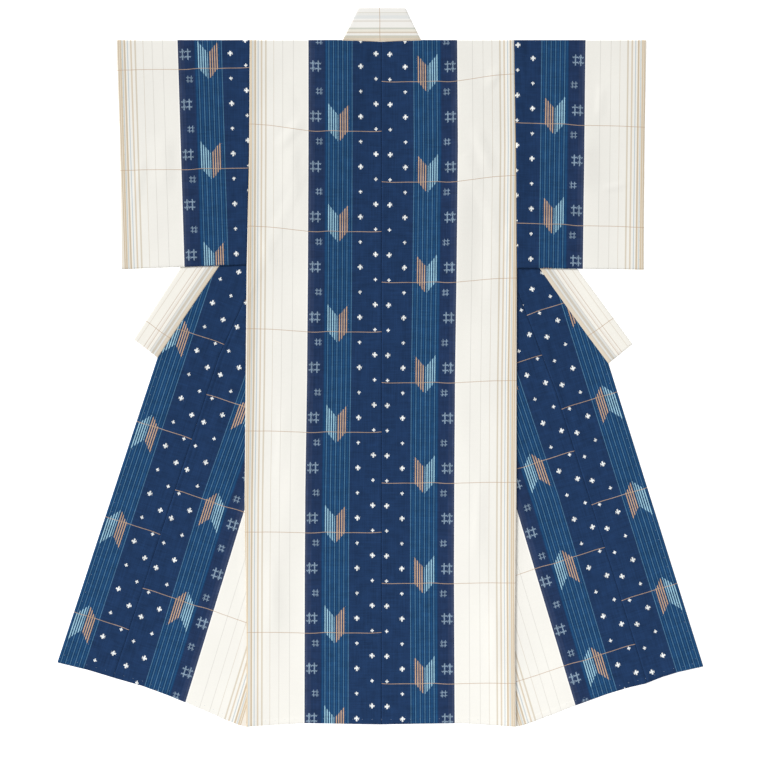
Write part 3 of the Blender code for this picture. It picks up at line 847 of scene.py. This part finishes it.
def striped_cloth(name, stops, span):
    """Plain-woven handspun silk, yarn-dyed with indigo: a dry, matt face with thick and thin yarns, and a
    faint sheen where it turns away. Thick wefts show as short level streaks, and the dye is uneven."""
    material = bpy.data.materials.new(name)
    material.use_nodes = True
    tree = material.node_tree
    tree.nodes.clear()
    uv = add(tree, "ShaderNodeUVMap", uv_map="cloth")
    across = add(tree, "ShaderNodeSeparateXYZ", {0: uv})
    along = across.node.outputs[1]
    dyed = slipped(tree, across, YARN_SLIP, along)
    set_out = slipped(tree, along, YARN_SLIP_ACROSS, across)

    # The bands and the fine lines, as one ramp
    ramp_share = calc(tree, "MULTIPLY", across, 1 / span)
    colour = add(tree, "ShaderNodeValToRGB", {"Fac": ramp_share})
    ramp = colour.node.color_ramp
    ramp.interpolation = "CONSTANT"
    while len(ramp.elements) < len(stops):
        ramp.elements.new(1.0)
    for element, (where, stripe) in zip(ramp.elements, stops):
        element.position = where / span
        element.color = linear(stripe)

    # Pale lines in the teal band, and softer ones between them
    first_line = INNER_BAND + TEAL_LINE_START
    from_teal = calc(tree, "SUBTRACT", across, first_line)
    to_line = to_lines(tree, from_teal, TEAL_LINE_PITCH)
    on_line = calc(tree, "LESS_THAN", to_line, TEAL_LINE_HALF)
    between_lines = TEAL_LINE_PITCH / 2 - BLUE_LINE_HALF
    on_blue = calc(tree, "GREATER_THAN", to_line, between_lines)
    in_teal = calc(tree, "COMPARE", across, (INNER_BAND + TEAL_BAND) / 2, (TEAL_BAND - INNER_BAND) / 2)
    teal_line = calc(tree, "MULTIPLY", on_line, in_teal)
    blue_line = calc(tree, "MULTIPLY", on_blue, in_teal)

    # Each line and figure covers what is under it by its own share
    cross = small_crosses(tree, across, set_out, dyed)
    feather, shade = arrow_feathers(tree, set_out, dyed, from_teal)
    for mask, cover_share, dye in (
        (blue_line, BLUE_LINE_COVER, linear(BLUE_LINE)),
        (teal_line, TEAL_LINE_COVER, linear(TEAL_LINE)),
        (feather, FEATHER_COVER, shade),
        (well_cribs(tree, set_out, dyed), CRIB_COVER, linear(CRIB_BLUE)),
        (cross, CROSS_COVER, linear(CROSS_WHITE)),
        (tan_wefts(tree, across, along), TAN_WEFT_COVER, linear(TAN_WEFT)),
    ):
        amount = calc(tree, "MULTIPLY", mask, cover_share)
        mixed = {"Factor": amount, "A": colour, "B": dye}
        colour = add(tree, "ShaderNodeMix", mixed, data_type="RGBA")

    # Thick and thin yarns: short level streaks, long upright ones, and a cloudy unevenness of the dye
    level = {0: uv, 1: (1 / SLUB_LENGTH, 1 / SLUB_WIDTH, 1.0)}
    level = add(tree, "ShaderNodeVectorMath", level, operation="MULTIPLY")
    slubs = add(tree, "ShaderNodeTexNoise", {"Vector": level, "Scale": 1.0, "Detail": 2.0})
    upright = {0: uv, 1: (1 / SLUB_WIDTH, 1 / WARP_STREAK, 1.0)}
    upright = add(tree, "ShaderNodeVectorMath", upright, operation="MULTIPLY")
    warps = add(tree, "ShaderNodeTexNoise", {"Vector": upright, "Scale": 1.0, "Detail": 3.0})
    clouds = {"Vector": uv, "Scale": CLOUDS_PER_METRE, "Detail": 4.0}
    clouds = add(tree, "ShaderNodeTexNoise", clouds)
    uneven = calc(tree, "ADD", slubs, warps)
    uneven = calc(tree, "ADD", uneven, clouds)
    uneven = calc(tree, "SUBTRACT", uneven, 3 * NOISE_MIDDLE)
    in_dye = calc(tree, "LESS_THAN", across, OUTER_BAND)
    depth = calc(tree, "MULTIPLY_ADD", in_dye, DYED_MOTTLE - CREAM_MOTTLE, CREAM_MOTTLE)
    value = calc(tree, "MULTIPLY_ADD", uneven, depth, 1.0)
    colour = add(tree, "ShaderNodeHueSaturation", {"Value": value, "Color": colour})

    # The weave itself, raised with the slubs
    waves = []
    for way in (across, along):
        wave = calc(tree, "MULTIPLY", way, math.pi / THREAD_PITCH)
        waves.append(calc(tree, "SINE", wave))
    weave = calc(tree, "MULTIPLY", waves[0], waves[1])
    raised = calc(tree, "MULTIPLY_ADD", slubs, SLUB_RAISE, weave)
    bump = add(tree, "ShaderNodeBump", {"Height": raised, "Distance": WEAVE_DEPTH, "Strength": 1.0})
    rough = {"Value": slubs, "To Min": FINE_YARN_ROUGHNESS, "To Max": THICK_YARN_ROUGHNESS}
    shader = add(tree, "ShaderNodeBsdfPrincipled", {
        "Base Color": colour,
        "Roughness": add(tree, "ShaderNodeMapRange", rough),
        "Normal": bump,
        "IOR": 1.45,
        "Specular IOR Level": 0.10,
        "Sheen Weight": 0.04,
        "Sheen Roughness": 0.45,
    })
    add(tree, "ShaderNodeOutputMaterial", {"Surface": shader})
    return material


# How the pattern drifts outwards across a body length, at distances along the cloth from the shoulder, with
# the back below zero. The back was pulled up towards its side seams, so its wefts rise there, most at the
# shoulder
ClothRow = namedtuple("ClothRow", "along left right")
PATTERN_DRIFT = (
    ClothRow(-BODY_LENGTH, 0.0050, -0.0052),
    ClothRow(-1.250, 0.0042, -0.0070),
    ClothRow(-1.060, 0.0030, -0.0062),
    ClothRow(-0.800, -0.0010, -0.0045),
    ClothRow(-0.550, -0.0032, -0.0010),
    ClothRow(-0.250, -0.0046, 0.0022),
    ClothRow(0.0, -0.0045, 0.0005),
    ClothRow(1.132, -0.0274, -0.0206),
    ClothRow(BODY_LENGTH, -0.0178, -0.0146),
)
BODY_PHASE = {"left": 0.2077, "right": 0.0914}
FRONT_SHIFT = {"left": 0.0687, "right": 0.0529}
SHIFTED_BY = 0.45

# The fronts' wefts lie a little nearer to the hem than an even pitch would put them
FRONT_STRETCH = (
    ClothRow(0.450, 0.0, 0.0),
    ClothRow(0.800, 0.0055, 0.0068),
    ClothRow(1.136, 0.0062, 0.0095),
    ClothRow(1.375, 0.0132, 0.0112),
    ClothRow(BODY_LENGTH, 0.0180, 0.0140),
)
WEFT_RISE = 0.017
LEVEL_BELOW = 1.15

cloth = striped_cloth("striped_handspun_silk", roll_stops(), SELVAGE)
STACKS = [Stack(side) for side in SIDES]


def fold_scores(point, square):
    """The lines that a half turn of cloth needs, from its first line onwards."""
    return [(np.add(point, np.multiply(square, HALF_TURN * step / FOLD_STEPS)), square)
            for step in range(FOLD_STEPS + 1)]


# Hems are held by prick stitches: only a dot of pale silk thread shows at each. The thread is drawn 0.8 mm
# thick, twice the real one, because nothing finer shows in the render
STITCH_INSET = 0.0112
STITCH_PITCH = 0.022
STITCH_LENGTH = 0.0018
STITCH_WIDTH = 0.0008
STITCH_SEED = 7
STITCH_SIDES = 6
STITCH_RINGS = 4
STITCH_TURN = 0.35
THREAD_COLOUR = "#a9b7c6"


def silk_thread():
    """Twisted silk sewing thread, pale and a little glossy, so that each stitch shows as a light dot."""
    return plain_material("silk_thread", {"Base Color": linear(THREAD_COLOUR), "Roughness": 0.5})


def stitch_tree(thread):
    """Geometry nodes that set one short stitch at even steps along the edges of a mesh."""
    tree = bpy.data.node_groups.new("prick_stitches", "GeometryNodeTree")
    face = tree.interface
    face.new_socket("Geometry", in_out="INPUT", socket_type="NodeSocketGeometry")
    for name in ("Stitch pitch", "Stitch length", "Thread width"):
        face.new_socket(name, in_out="INPUT", socket_type="NodeSocketFloat")
    face.new_socket("Seed", in_out="INPUT", socket_type="NodeSocketInt")
    face.new_socket("Geometry", in_out="OUTPUT", socket_type="NodeSocketGeometry")
    line = add(tree, "NodeGroupInput")
    given = line.node.outputs
    path = add(tree, "GeometryNodeMeshToCurve", {"Mesh": line})
    steps = {"Curve": path, "Length": given["Stitch pitch"]}
    path = add(tree, "GeometryNodeResampleCurve", steps, mode="LENGTH")
    bead = {"Segments": STITCH_SIDES, "Rings": STITCH_RINGS, "Radius": 0.5}
    stitch = add(tree, "GeometryNodeMeshUVSphere", bead)
    tangent = add(tree, "GeometryNodeInputTangent")
    aligned = add(tree, "FunctionNodeAlignRotationToVector", {"Vector": tangent}, axis="X")
    turn = {"Min": -STITCH_TURN, "Max": STITCH_TURN, "Seed": given["Seed"]}
    turn = add(tree, "FunctionNodeRandomValue", turn, data_type="FLOAT")
    turn = add(tree, "FunctionNodeAxisAngleToRotation", {"Axis": (0.0, 0.0, 1.0), "Angle": turn})
    aligned = add(tree, "FunctionNodeRotateRotation", {"Rotation": aligned, "Rotate By": turn})
    size = add(tree, "ShaderNodeCombineXYZ", {
        "X": given["Stitch length"],
        "Y": given["Thread width"],
        "Z": given["Thread width"],
    })
    row = add(tree, "GeometryNodeInstanceOnPoints", {
        "Points": path,
        "Instance": stitch,
        "Rotation": aligned,
        "Scale": size,
    })
    row = add(tree, "GeometryNodeRealizeInstances", {"Geometry": row})
    row = add(tree, "GeometryNodeSetMaterial", {"Geometry": row, "Material": thread})
    add(tree, "NodeGroupOutput", {"Geometry": row})
    return tree


STITCHES = stitch_tree(silk_thread())


def inset_hem(hem, inwards):
    """A hem's line moved towards a point inside the cloth, with points enough to follow the relief."""
    points = []
    for start, end in zip(hem, hem[1:]):
        run = np.subtract(end, start)
        length = float(np.hypot(*run))
        square = np.array((-run[1], run[0])) / length
        if (np.array(inwards) - start) @ square < 0:
            square = -square
        steps = max(2, round(length / STITCH_PITCH))
        for share in np.linspace(0.0, 1.0, steps + 1):
            points.append(np.add(start, square * STITCH_INSET + run * share))
    return np.array(points)


def hem_stitches(name, hems, inwards, place, sign):
    """The prick stitches of a piece's hems, on its upper face, as one mesh."""
    points, edges = [], []
    for hem in hems:
        flat = inset_hem(hem, inwards)
        laid = place(flat[:, 0], flat[:, 1]) * (sign, 1.0, 1.0)
        laid[:, 2] += relief(laid[:, 0], laid[:, 1]) + (WALL + HEM_EXTRA) / 2
        edges += [(len(points) + index, len(points) + index + 1) for index in range(len(laid) - 1)]
        points += list(laid + (CENTRE_X, SHOULDER_Y, 0.0))
    line_mesh = bpy.data.meshes.new(name + "_line")
    line_mesh.from_pydata(points, edges, [])
    line = put(name + "_line", line_mesh)
    modifier = line.modifiers.new("stitches", "NODES")
    modifier.node_group = STITCHES
    sizes = {
        "Stitch pitch": STITCH_PITCH,
        "Stitch length": STITCH_LENGTH,
        "Thread width": STITCH_WIDTH,
        "Seed": STITCH_SEED,
    }
    for socket in STITCHES.interface.items_tree:
        if socket.name in sizes:
            modifier[socket.identifier] = sizes[socket.name]
    made = line.evaluated_get(bpy.context.evaluated_depsgraph_get())
    mesh = bpy.data.meshes.new_from_object(made)
    line.modifiers.clear()
    bpy.data.objects.remove(line)
    stitches = put(name, mesh)
    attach(stitches, "root")
    return stitches


def finish_cloth(piece, node):
    """Parents a sheet to the root body and hides the node that it stands in for."""
    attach(piece, "root")
    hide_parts(node)


for side, stack in zip(SIDES, STACKS):
    seam = [(float(read_table(SIDE_SEAM, side, row.down)), row.down) for row in SIDE_SEAM]
    inner = float(front_edge(side, -BODY_LENGTH))
    back_hem = [(row.out, -row.down) for row in BACK_HEM] + [(seam[-1][0], -BODY_LENGTH)]
    front_outs = hem_outs(side, inner, seam[-1][0]) + [seam[-1][0]]
    front_low = [(out, HALF_TURN - float(front_hem(side, out))) for out in reversed(front_outs)]
    shares = np.linspace(okumi_top_share(side), 1.0, COLLAR_SEAM_POINTS)[:-1]
    neck = [(out, HALF_TURN - up) for out, up in collar_seam(side, shares)]
    outline = back_hem[:-1] + [(out, -down) for out, down in reversed(seam)]
    outline += [(out, HALF_TURN + down) for out, down in seam[:-1]] + front_low
    outline += [(inner, HALF_TURN + BODY_LENGTH - side.bend)] + neck
    outline += [(NECK_HALF, HALF_TURN), (NECK_HALF, 0.0), (BACK_HEM[0].out, float(back_neckline(0.0)))]
    pleat_first = pleat_start(side)
    pleat_way = pleat_square(side)
    folds = fold_scores((0.0, 0.0), (0.0, 1.0))
    folds += fold_scores((pleat_first[0], HALF_TURN - pleat_first[1]), (pleat_way[0], -pleat_way[1]))
    centre_seam = [(BACK_HEM[0].out, -BACK_HEM[0].down), (BACK_HEM[0].out, float(back_neckline(0.0)))]
    front_seam = [(inner, HALF_TURN - float(front_hem(side, inner)))]
    front_seam += [(inner, HALF_TURN + BODY_LENGTH - side.bend), neck[0]]
    side_seam = [(out, -down) for out, down in seam]
    sheet = cut_sheet(outline, BODY_PITCH, folds, (back_hem, front_low), (centre_seam, side_seam, front_seam))

    def pattern(out, along):
        drift = read_table(PATTERN_DRIFT, side, along)
        cream_share = smooth((out - TEAL_BAND) / (SELVAGE - TEAL_BAND))
        rise = WEFT_RISE * cream_share * smooth(1 - abs(along) / LEVEL_BELOW)
        shift = FRONT_SHIFT[side.name] * smooth(along / SHIFTED_BY)
        stretch = read_table(FRONT_STRETCH, side, along)
        return out - drift, along + BODY_PHASE[side.name] + shift - stretch - rise

    body = cloth_piece(f"body_{side.name}_cloth", sheet, body_place(stack), side.sign, WALL, outline,
                       (back_hem, front_low), pattern, cloth)
    inside = (seam[0][0] / 2, 0.0)
    stitches = hem_stitches(f"body_{side.name}_stitches", (back_hem, front_low), inside,
                            body_place(stack), side.sign)
    finish_cloth(body, f"body_{side.name}")


# The overlap panels
# A narrower strip of the same cloth is sewn to each front's edge, and cut off slantwise at its top, where
# the collar is sewn on. Its free edge and its bottom have narrow hems.

OKUMI_PITCH = 0.005
OKUMI_PHASE = {"left": 0.1625, "right": 0.0053}
OKUMI_TOP_POINTS = 9

# A point well inside a panel, from its seam and down from the shoulder
OKUMI_INSIDE = 0.03
OKUMI_MIDDLE = 1.2


def okumi_place(stack):
    def place(out, up):
        flat = turned_out(stack.side, np.stack([out, up], axis=1))
        return np.column_stack([flat, CLOTH / 2 + stack.swell("flap", out, -up)])

    return place


for side, stack in zip(SIDES, STACKS):
    tip = okumi_tip(side)
    inner = float(front_edge(side, -BODY_LENGTH)) - SEAM_GAP
    outs = hem_outs(side, tip[0], inner) + [inner]
    low_hem = [(out, float(front_hem(side, out))) for out in reversed(outs)]
    shares = np.linspace(0.0, okumi_top_share(side, SEAM_GAP), OKUMI_TOP_POINTS)
    outline = low_hem + [tuple(point) for point in collar_seam(side, shares)]
    outline.append((inner, side.bend - BODY_LENGTH))
    hems = (low_hem, [low_hem[-1], tuple(tip)])
    front_seam = [outline[-2], outline[-1], outline[0]]
    sheet = cut_sheet(outline, OKUMI_PITCH, [], hems, (front_seam,))

    def pattern(out, up):
        return inner + SEAM_GAP - out, OKUMI_PHASE[side.name] - up

    okumi = cloth_piece(f"okumi_{side.name}_cloth", sheet, okumi_place(stack), side.sign, WALL, outline,
                        hems, pattern, cloth)
    inside = (inner - OKUMI_INSIDE, -OKUMI_MIDDLE)
    stitches = hem_stitches(f"okumi_{side.name}_stitches", hems, inside, okumi_place(stack), side.sign)
    finish_cloth(okumi, f"okumi_{side.name}")


# The sleeves
# Each is one width of the cloth, folded at the shoulder and sewn to the body beside it. It is closed along
# its bottom edge, and its wrist edge is hemmed.

SLEEVE_PITCH = 0.005
SLEEVE_PHASE = {"left": 0.0580, "right": 0.1870}
SLEEVE_WEFT_FALL = {"left": 0.025, "right": 0.041}

# How much of the cloth's width the armhole seam takes in at the shoulder, and how much more for each metre
# down
TakenIn = namedtuple("TakenIn", "shoulder per_metre")
TAKEN_IN = {"left": TakenIn(0.0070, 0.031), "right": TakenIn(0.0090, 0.012)}
WRIST_EDGE = (
    EdgeRow(0.000, 0.6240, 0.6218),
    EdgeRow(0.200, 0.6170, 0.6180),
    EdgeRow(0.370, 0.6130, 0.6164),
    EdgeRow(0.560, 0.6115, 0.6160),
)
SleeveDrop = namedtuple("SleeveDrop", "inner outer")
SLEEVE_DROP = {"left": SleeveDrop(0.5250, 0.5360), "right": SleeveDrop(0.5330, 0.5370)}


def sleeve_drop_at(side, out):
    drop = SLEEVE_DROP[side.name]
    inner = read_table(SIDE_SEAM, side, drop.inner)
    share = (out - inner) / (read_table(WRIST_EDGE, side, drop.outer) - inner)
    return drop.inner + share * (drop.outer - drop.inner)


def sleeve_place(stack):
    """The sleeve: folded at the shoulder, and again at its bottom edge, where it closes on its own start."""

    def place(out, along):
        up, over_shoulder = bent(along)
        low_up = np.minimum(up, 0.0)
        top = stack.sleeve_top(out, low_up)
        under = stack.under_layer(out, low_up)
        first = np.stack([out, up, top + over_shoulder * (under - top)], axis=1)
        drop = sleeve_drop_at(stack.side, out)
        below, over_bottom = bent(-up - drop)
        top = stack.sleeve_top(out, -drop)
        second = np.stack([out, -drop - below, under + over_bottom * (top - under)], axis=1)
        return np.where((over_shoulder < 1)[:, None], first, second)

    return place


for side, stack in zip(SIDES, STACKS):
    drop = SLEEVE_DROP[side.name]
    downs = (0.0, drop.inner / 2, drop.inner)
    inner = [(float(read_table(SIDE_SEAM, side, down)) + SEAM_GAP, down) for down in downs]
    wrist = [(getattr(row, side.name), row.down) for row in WRIST_EDGE[:-1]]
    wrist.append((float(read_table(WRIST_EDGE, side, drop.outer)), drop.outer))
    outline = [(out, -down) for out, down in inner[:-1]]
    outline += [(inner[-1][0], -drop.inner + SEAM_GAP), (wrist[-1][0], -drop.outer + SEAM_GAP)]
    outline += [(out, -down) for out, down in reversed(wrist[:-1])]
    outline += [(out, HALF_TURN + down) for out, down in wrist]
    outline += [(wrist[-1][0], 2 * HALF_TURN + drop.outer), (inner[-1][0], 2 * HALF_TURN + drop.inner)]
    outline += [(out, HALF_TURN + down) for out, down in reversed(inner)]
    wrist_hem = [(out, -down) for out, down in reversed(wrist)]
    wrist_hem += [(out, HALF_TURN + down) for out, down in wrist]
    bottom = np.subtract((wrist[-1][0], drop.outer), (inner[-1][0], drop.inner))
    square = np.array((-bottom[1], bottom[0])) / np.hypot(*bottom)
    folds = fold_scores((0.0, 0.0), (0.0, 1.0))
    folds += fold_scores((inner[-1][0], HALF_TURN + drop.inner), square)
    armhole = [(out, -down) for out, down in inner]
    sheet = cut_sheet(outline, SLEEVE_PITCH, folds, (wrist_hem,), (armhole,))
    body_edge = inner[0][0]

    def pattern(out, along):
        taken = TAKEN_IN[side.name]
        fall = SLEEVE_WEFT_FALL[side.name] * (out - body_edge)
        across = out - body_edge + taken.shoulder + taken.per_metre * abs(along)
        return across, along + SLEEVE_PHASE[side.name] + fall

    sleeve = cloth_piece(f"sleeve_{side.name}_cloth", sheet, sleeve_place(stack), side.sign, WALL, outline,
                         (wrist_hem,), pattern, cloth)
    upper_hem = wrist_hem[: len(wrist)]
    stitches = hem_stitches(f"sleeve_{side.name}_stitches", (upper_hem,), inner[0],
                            sleeve_place(stack), side.sign)
    finish_cloth(sleeve, f"sleeve_{side.name}")


# The collar
# One long band of the same silk, cut from the striped edge of the cloth and sewn double, goes round the
# back of the neck and down both fronts to its square ends. Only its neck part and its two ends show.

COLLAR_PITCH = 0.004
COLLAR_WALL = 0.0018
COLLAR_TOP_HALF = 0.055

# Its colours from the seam outwards, down the fronts and round the neck. Its cloth map starts past the
# roll's own width, so that no dyed figure falls on it
Stripe = namedtuple("Stripe", "start colour")
STRAP_START = SELVAGE
STRAP_CREAM = "#f6f3ea"
STRAP_STRIPES = (
    Stripe(0.0000, "#dfd3c0"),
    Stripe(0.0078, "#d5cdc0"),
    Stripe(0.0092, "#e3e4e0"),
    Stripe(0.0134, "#d0c8ba"),
    Stripe(0.0176, "#dfe0dc"),
    Stripe(0.0226, "#dcd7cf"),
    Stripe(0.0246, STRAP_CREAM),
    Stripe(0.0302, "#dccfbf"),
    Stripe(0.0324, "#efe9e0"),
    Stripe(0.0360, STRAP_CREAM),
    Stripe(0.0392, "#dacec0"),
    Stripe(0.0414, STRAP_CREAM),
    Stripe(0.0583, "#e6dfd3"),
    Stripe(0.0599, STRAP_CREAM),
)
NECK_START = STRAP_START + 0.085
NECK_CREAM = "#f5f3ee"
NECK_STRIPES = (
    Stripe(0.0000, "#dfd1bc"),
    Stripe(0.0080, "#d3cdbc"),
    Stripe(0.0130, "#dedfd8"),
    Stripe(0.0152, NECK_CREAM),
    Stripe(0.0200, "#dacfbf"),
    Stripe(0.0222, "#eeeade"),
    Stripe(0.0294, "#d3d4c9"),
    Stripe(0.0316, NECK_CREAM),
    Stripe(0.0462, "#e8e3db"),
    Stripe(0.0502, NECK_CREAM),
    Stripe(0.0530, "#e6e8e6"),
    Stripe(0.0620, "#edece7"),
    Stripe(0.0670, "#e3e0d6"),
    Stripe(0.0692, NECK_CREAM),
)
COLLAR_SPAN = NECK_START + 0.085
END_TO_WEFT = {"left": 0.059, "right": 0.085}
COLLAR_NECK_LIMIT = -0.004
SHORT_OF_PLEAT = 0.03
LEVEL_GAP = 1.3 * SEAM_GAP


def collar_half(side):
    """The outline of one half, from its top edge round to the web under the back of the neck."""
    shares = np.linspace(0.0, pleat_top_share(side) - SHORT_OF_PLEAT, COLLAR_SEAM_POINTS)
    seam = turned_out(side, collar_seam(side, shares)) + (LEVEL_GAP, 0.0)
    points = [(COLLAR_TOP_HALF, COLLAR_RISE), (NECK_HALF, 0.0)]
    points += [(out, -down) for out, down in (side.curve, side.end)]
    points += [tuple(point) for point in seam] + [web_corner()]
    return [(out * side.sign, up) for out, up in points], seam * (side.sign, 1.0)


halves = [collar_half(side) for side in SIDES]
outline = halves[0][0][::-1] + halves[1][0] + [(0.0, float(back_neckline(0.0)) + SEAM_GAP)]
sheet = cut_sheet(outline, COLLAR_PITCH, [])


def collar_pattern(x, up):
    """Across the band from its seam, and along it: level round the neck, and slanting down each front."""
    across, along = NECK_START + NECK_DIP + up, x.copy()
    for side, (_, seam) in zip(SIDES, halves):
        here = (up < COLLAR_NECK_LIMIT) & (x * side.sign > 0)
        across = np.where(here, STRAP_START + distance_to(seam, x, up), across)
        share, _ = along_line(x, up, seam[0], seam[-1])
        from_end = share * np.hypot(*(seam[0] - seam[-1]))
        along = np.where(here, from_end - END_TO_WEFT[side.name], along)
    return across, along


def collar_place(x, up):
    return np.stack([x, up, np.full(len(x), BAND / 2)], axis=1)


collar_stops = [(STRAP_START + row.start, row.colour) for row in STRAP_STRIPES]
collar_stops += [(NECK_START + row.start, row.colour) for row in NECK_STRIPES]
collar = cloth_piece("collar_cloth", sheet, collar_place, 1, COLLAR_WALL, outline, (), collar_pattern,
                     striped_cloth("striped_collar_silk", collar_stops, COLLAR_SPAN))
finish_cloth(collar, "collar")


# The studio
# A plain white floor that glows a little, as a light table does, soft light from all round, a slanting key
# from beyond the left shoulder, a broad lamp past the hem, and a camera straight above with a long lens.

PHOTO_PIXELS = 760
PIXEL = 0.00235
COLLAR_PIXEL_DOWN = 40.7
CENTRE_PIXEL = 381.75
LENS = 150.0
SENSOR = 36.0
FLOOR_HALF = 40.0
FLOOR_GLOW = 0.60
WHITE = "#fbfbfb"
WORLD_STRENGTH = 0.373
KEY_STRENGTH = 3.07
KEY_SOFTNESS = 22
KEY_TILT = 60
KEY_TURN = 50
HEM_LAMP_POWER = 44.0
HEM_LAMP_SIZE = 1.5
HEM_LAMP_AWAY = 3.2
HEM_LAMP_HEIGHT = 2.6

floor_mesh = bpy.data.meshes.new("floor")
corners = [(x * FLOOR_HALF, y * FLOOR_HALF, 0.0) for x, y in ((-1, -1), (1, -1), (1, 1), (-1, 1))]
floor_mesh.from_pydata(corners, [], [(0, 1, 2, 3)])
floor = put("floor", floor_mesh)

# Matt white paint that glows a little, so that the ground is as white as a light table and nearly free of
# shadow
floor_paint = {
    "Base Color": linear(WHITE),
    "Roughness": 1.0,
    "Specular IOR Level": 0.0,
    "Emission Color": linear(WHITE),
    "Emission Strength": FLOOR_GLOW,
}
floor_mesh.materials.append(plain_material("matt_white_paint", floor_paint))

world = bpy.data.worlds.new("studio")
world.use_nodes = True
background = world.node_tree.nodes["Background"]
background.inputs["Color"].default_value = (1.0, 1.0, 1.0, 1.0)
background.inputs["Strength"].default_value = WORLD_STRENGTH
bpy.context.scene.world = world

key = bpy.data.lights.new("key", "SUN")
key.energy = KEY_STRENGTH
key.angle = math.radians(KEY_SOFTNESS)
put("key", key).rotation_euler = (math.radians(-KEY_TILT), 0.0, math.radians(KEY_TURN))

hem_lamp = bpy.data.lights.new("hem_lamp", "AREA")
hem_lamp.energy = HEM_LAMP_POWER
hem_lamp.size = HEM_LAMP_SIZE
hem_lamp_holder = put("hem_lamp", hem_lamp)
hem_lamp_holder.location = (CENTRE_X, -HEM_LAMP_AWAY, HEM_LAMP_HEIGHT)
hem_lamp_holder.rotation_euler = (math.atan2(HEM_LAMP_AWAY, HEM_LAMP_HEIGHT), 0.0, 0.0)

camera_data = bpy.data.cameras.new("camera")
camera_data.lens = LENS
camera_data.sensor_width = SENSOR
camera = put("camera", camera_data)
camera.location = (
    CENTRE_X + (PHOTO_PIXELS / 2 - CENTRE_PIXEL) * PIXEL,
    SHOULDER_Y - (PHOTO_PIXELS / 2 - COLLAR_PIXEL_DOWN) * PIXEL,
    PHOTO_PIXELS * PIXEL * LENS / SENSOR,
)
bpy.context.scene.camera = camera
bpy.context.scene.view_settings.view_transform = "Standard"
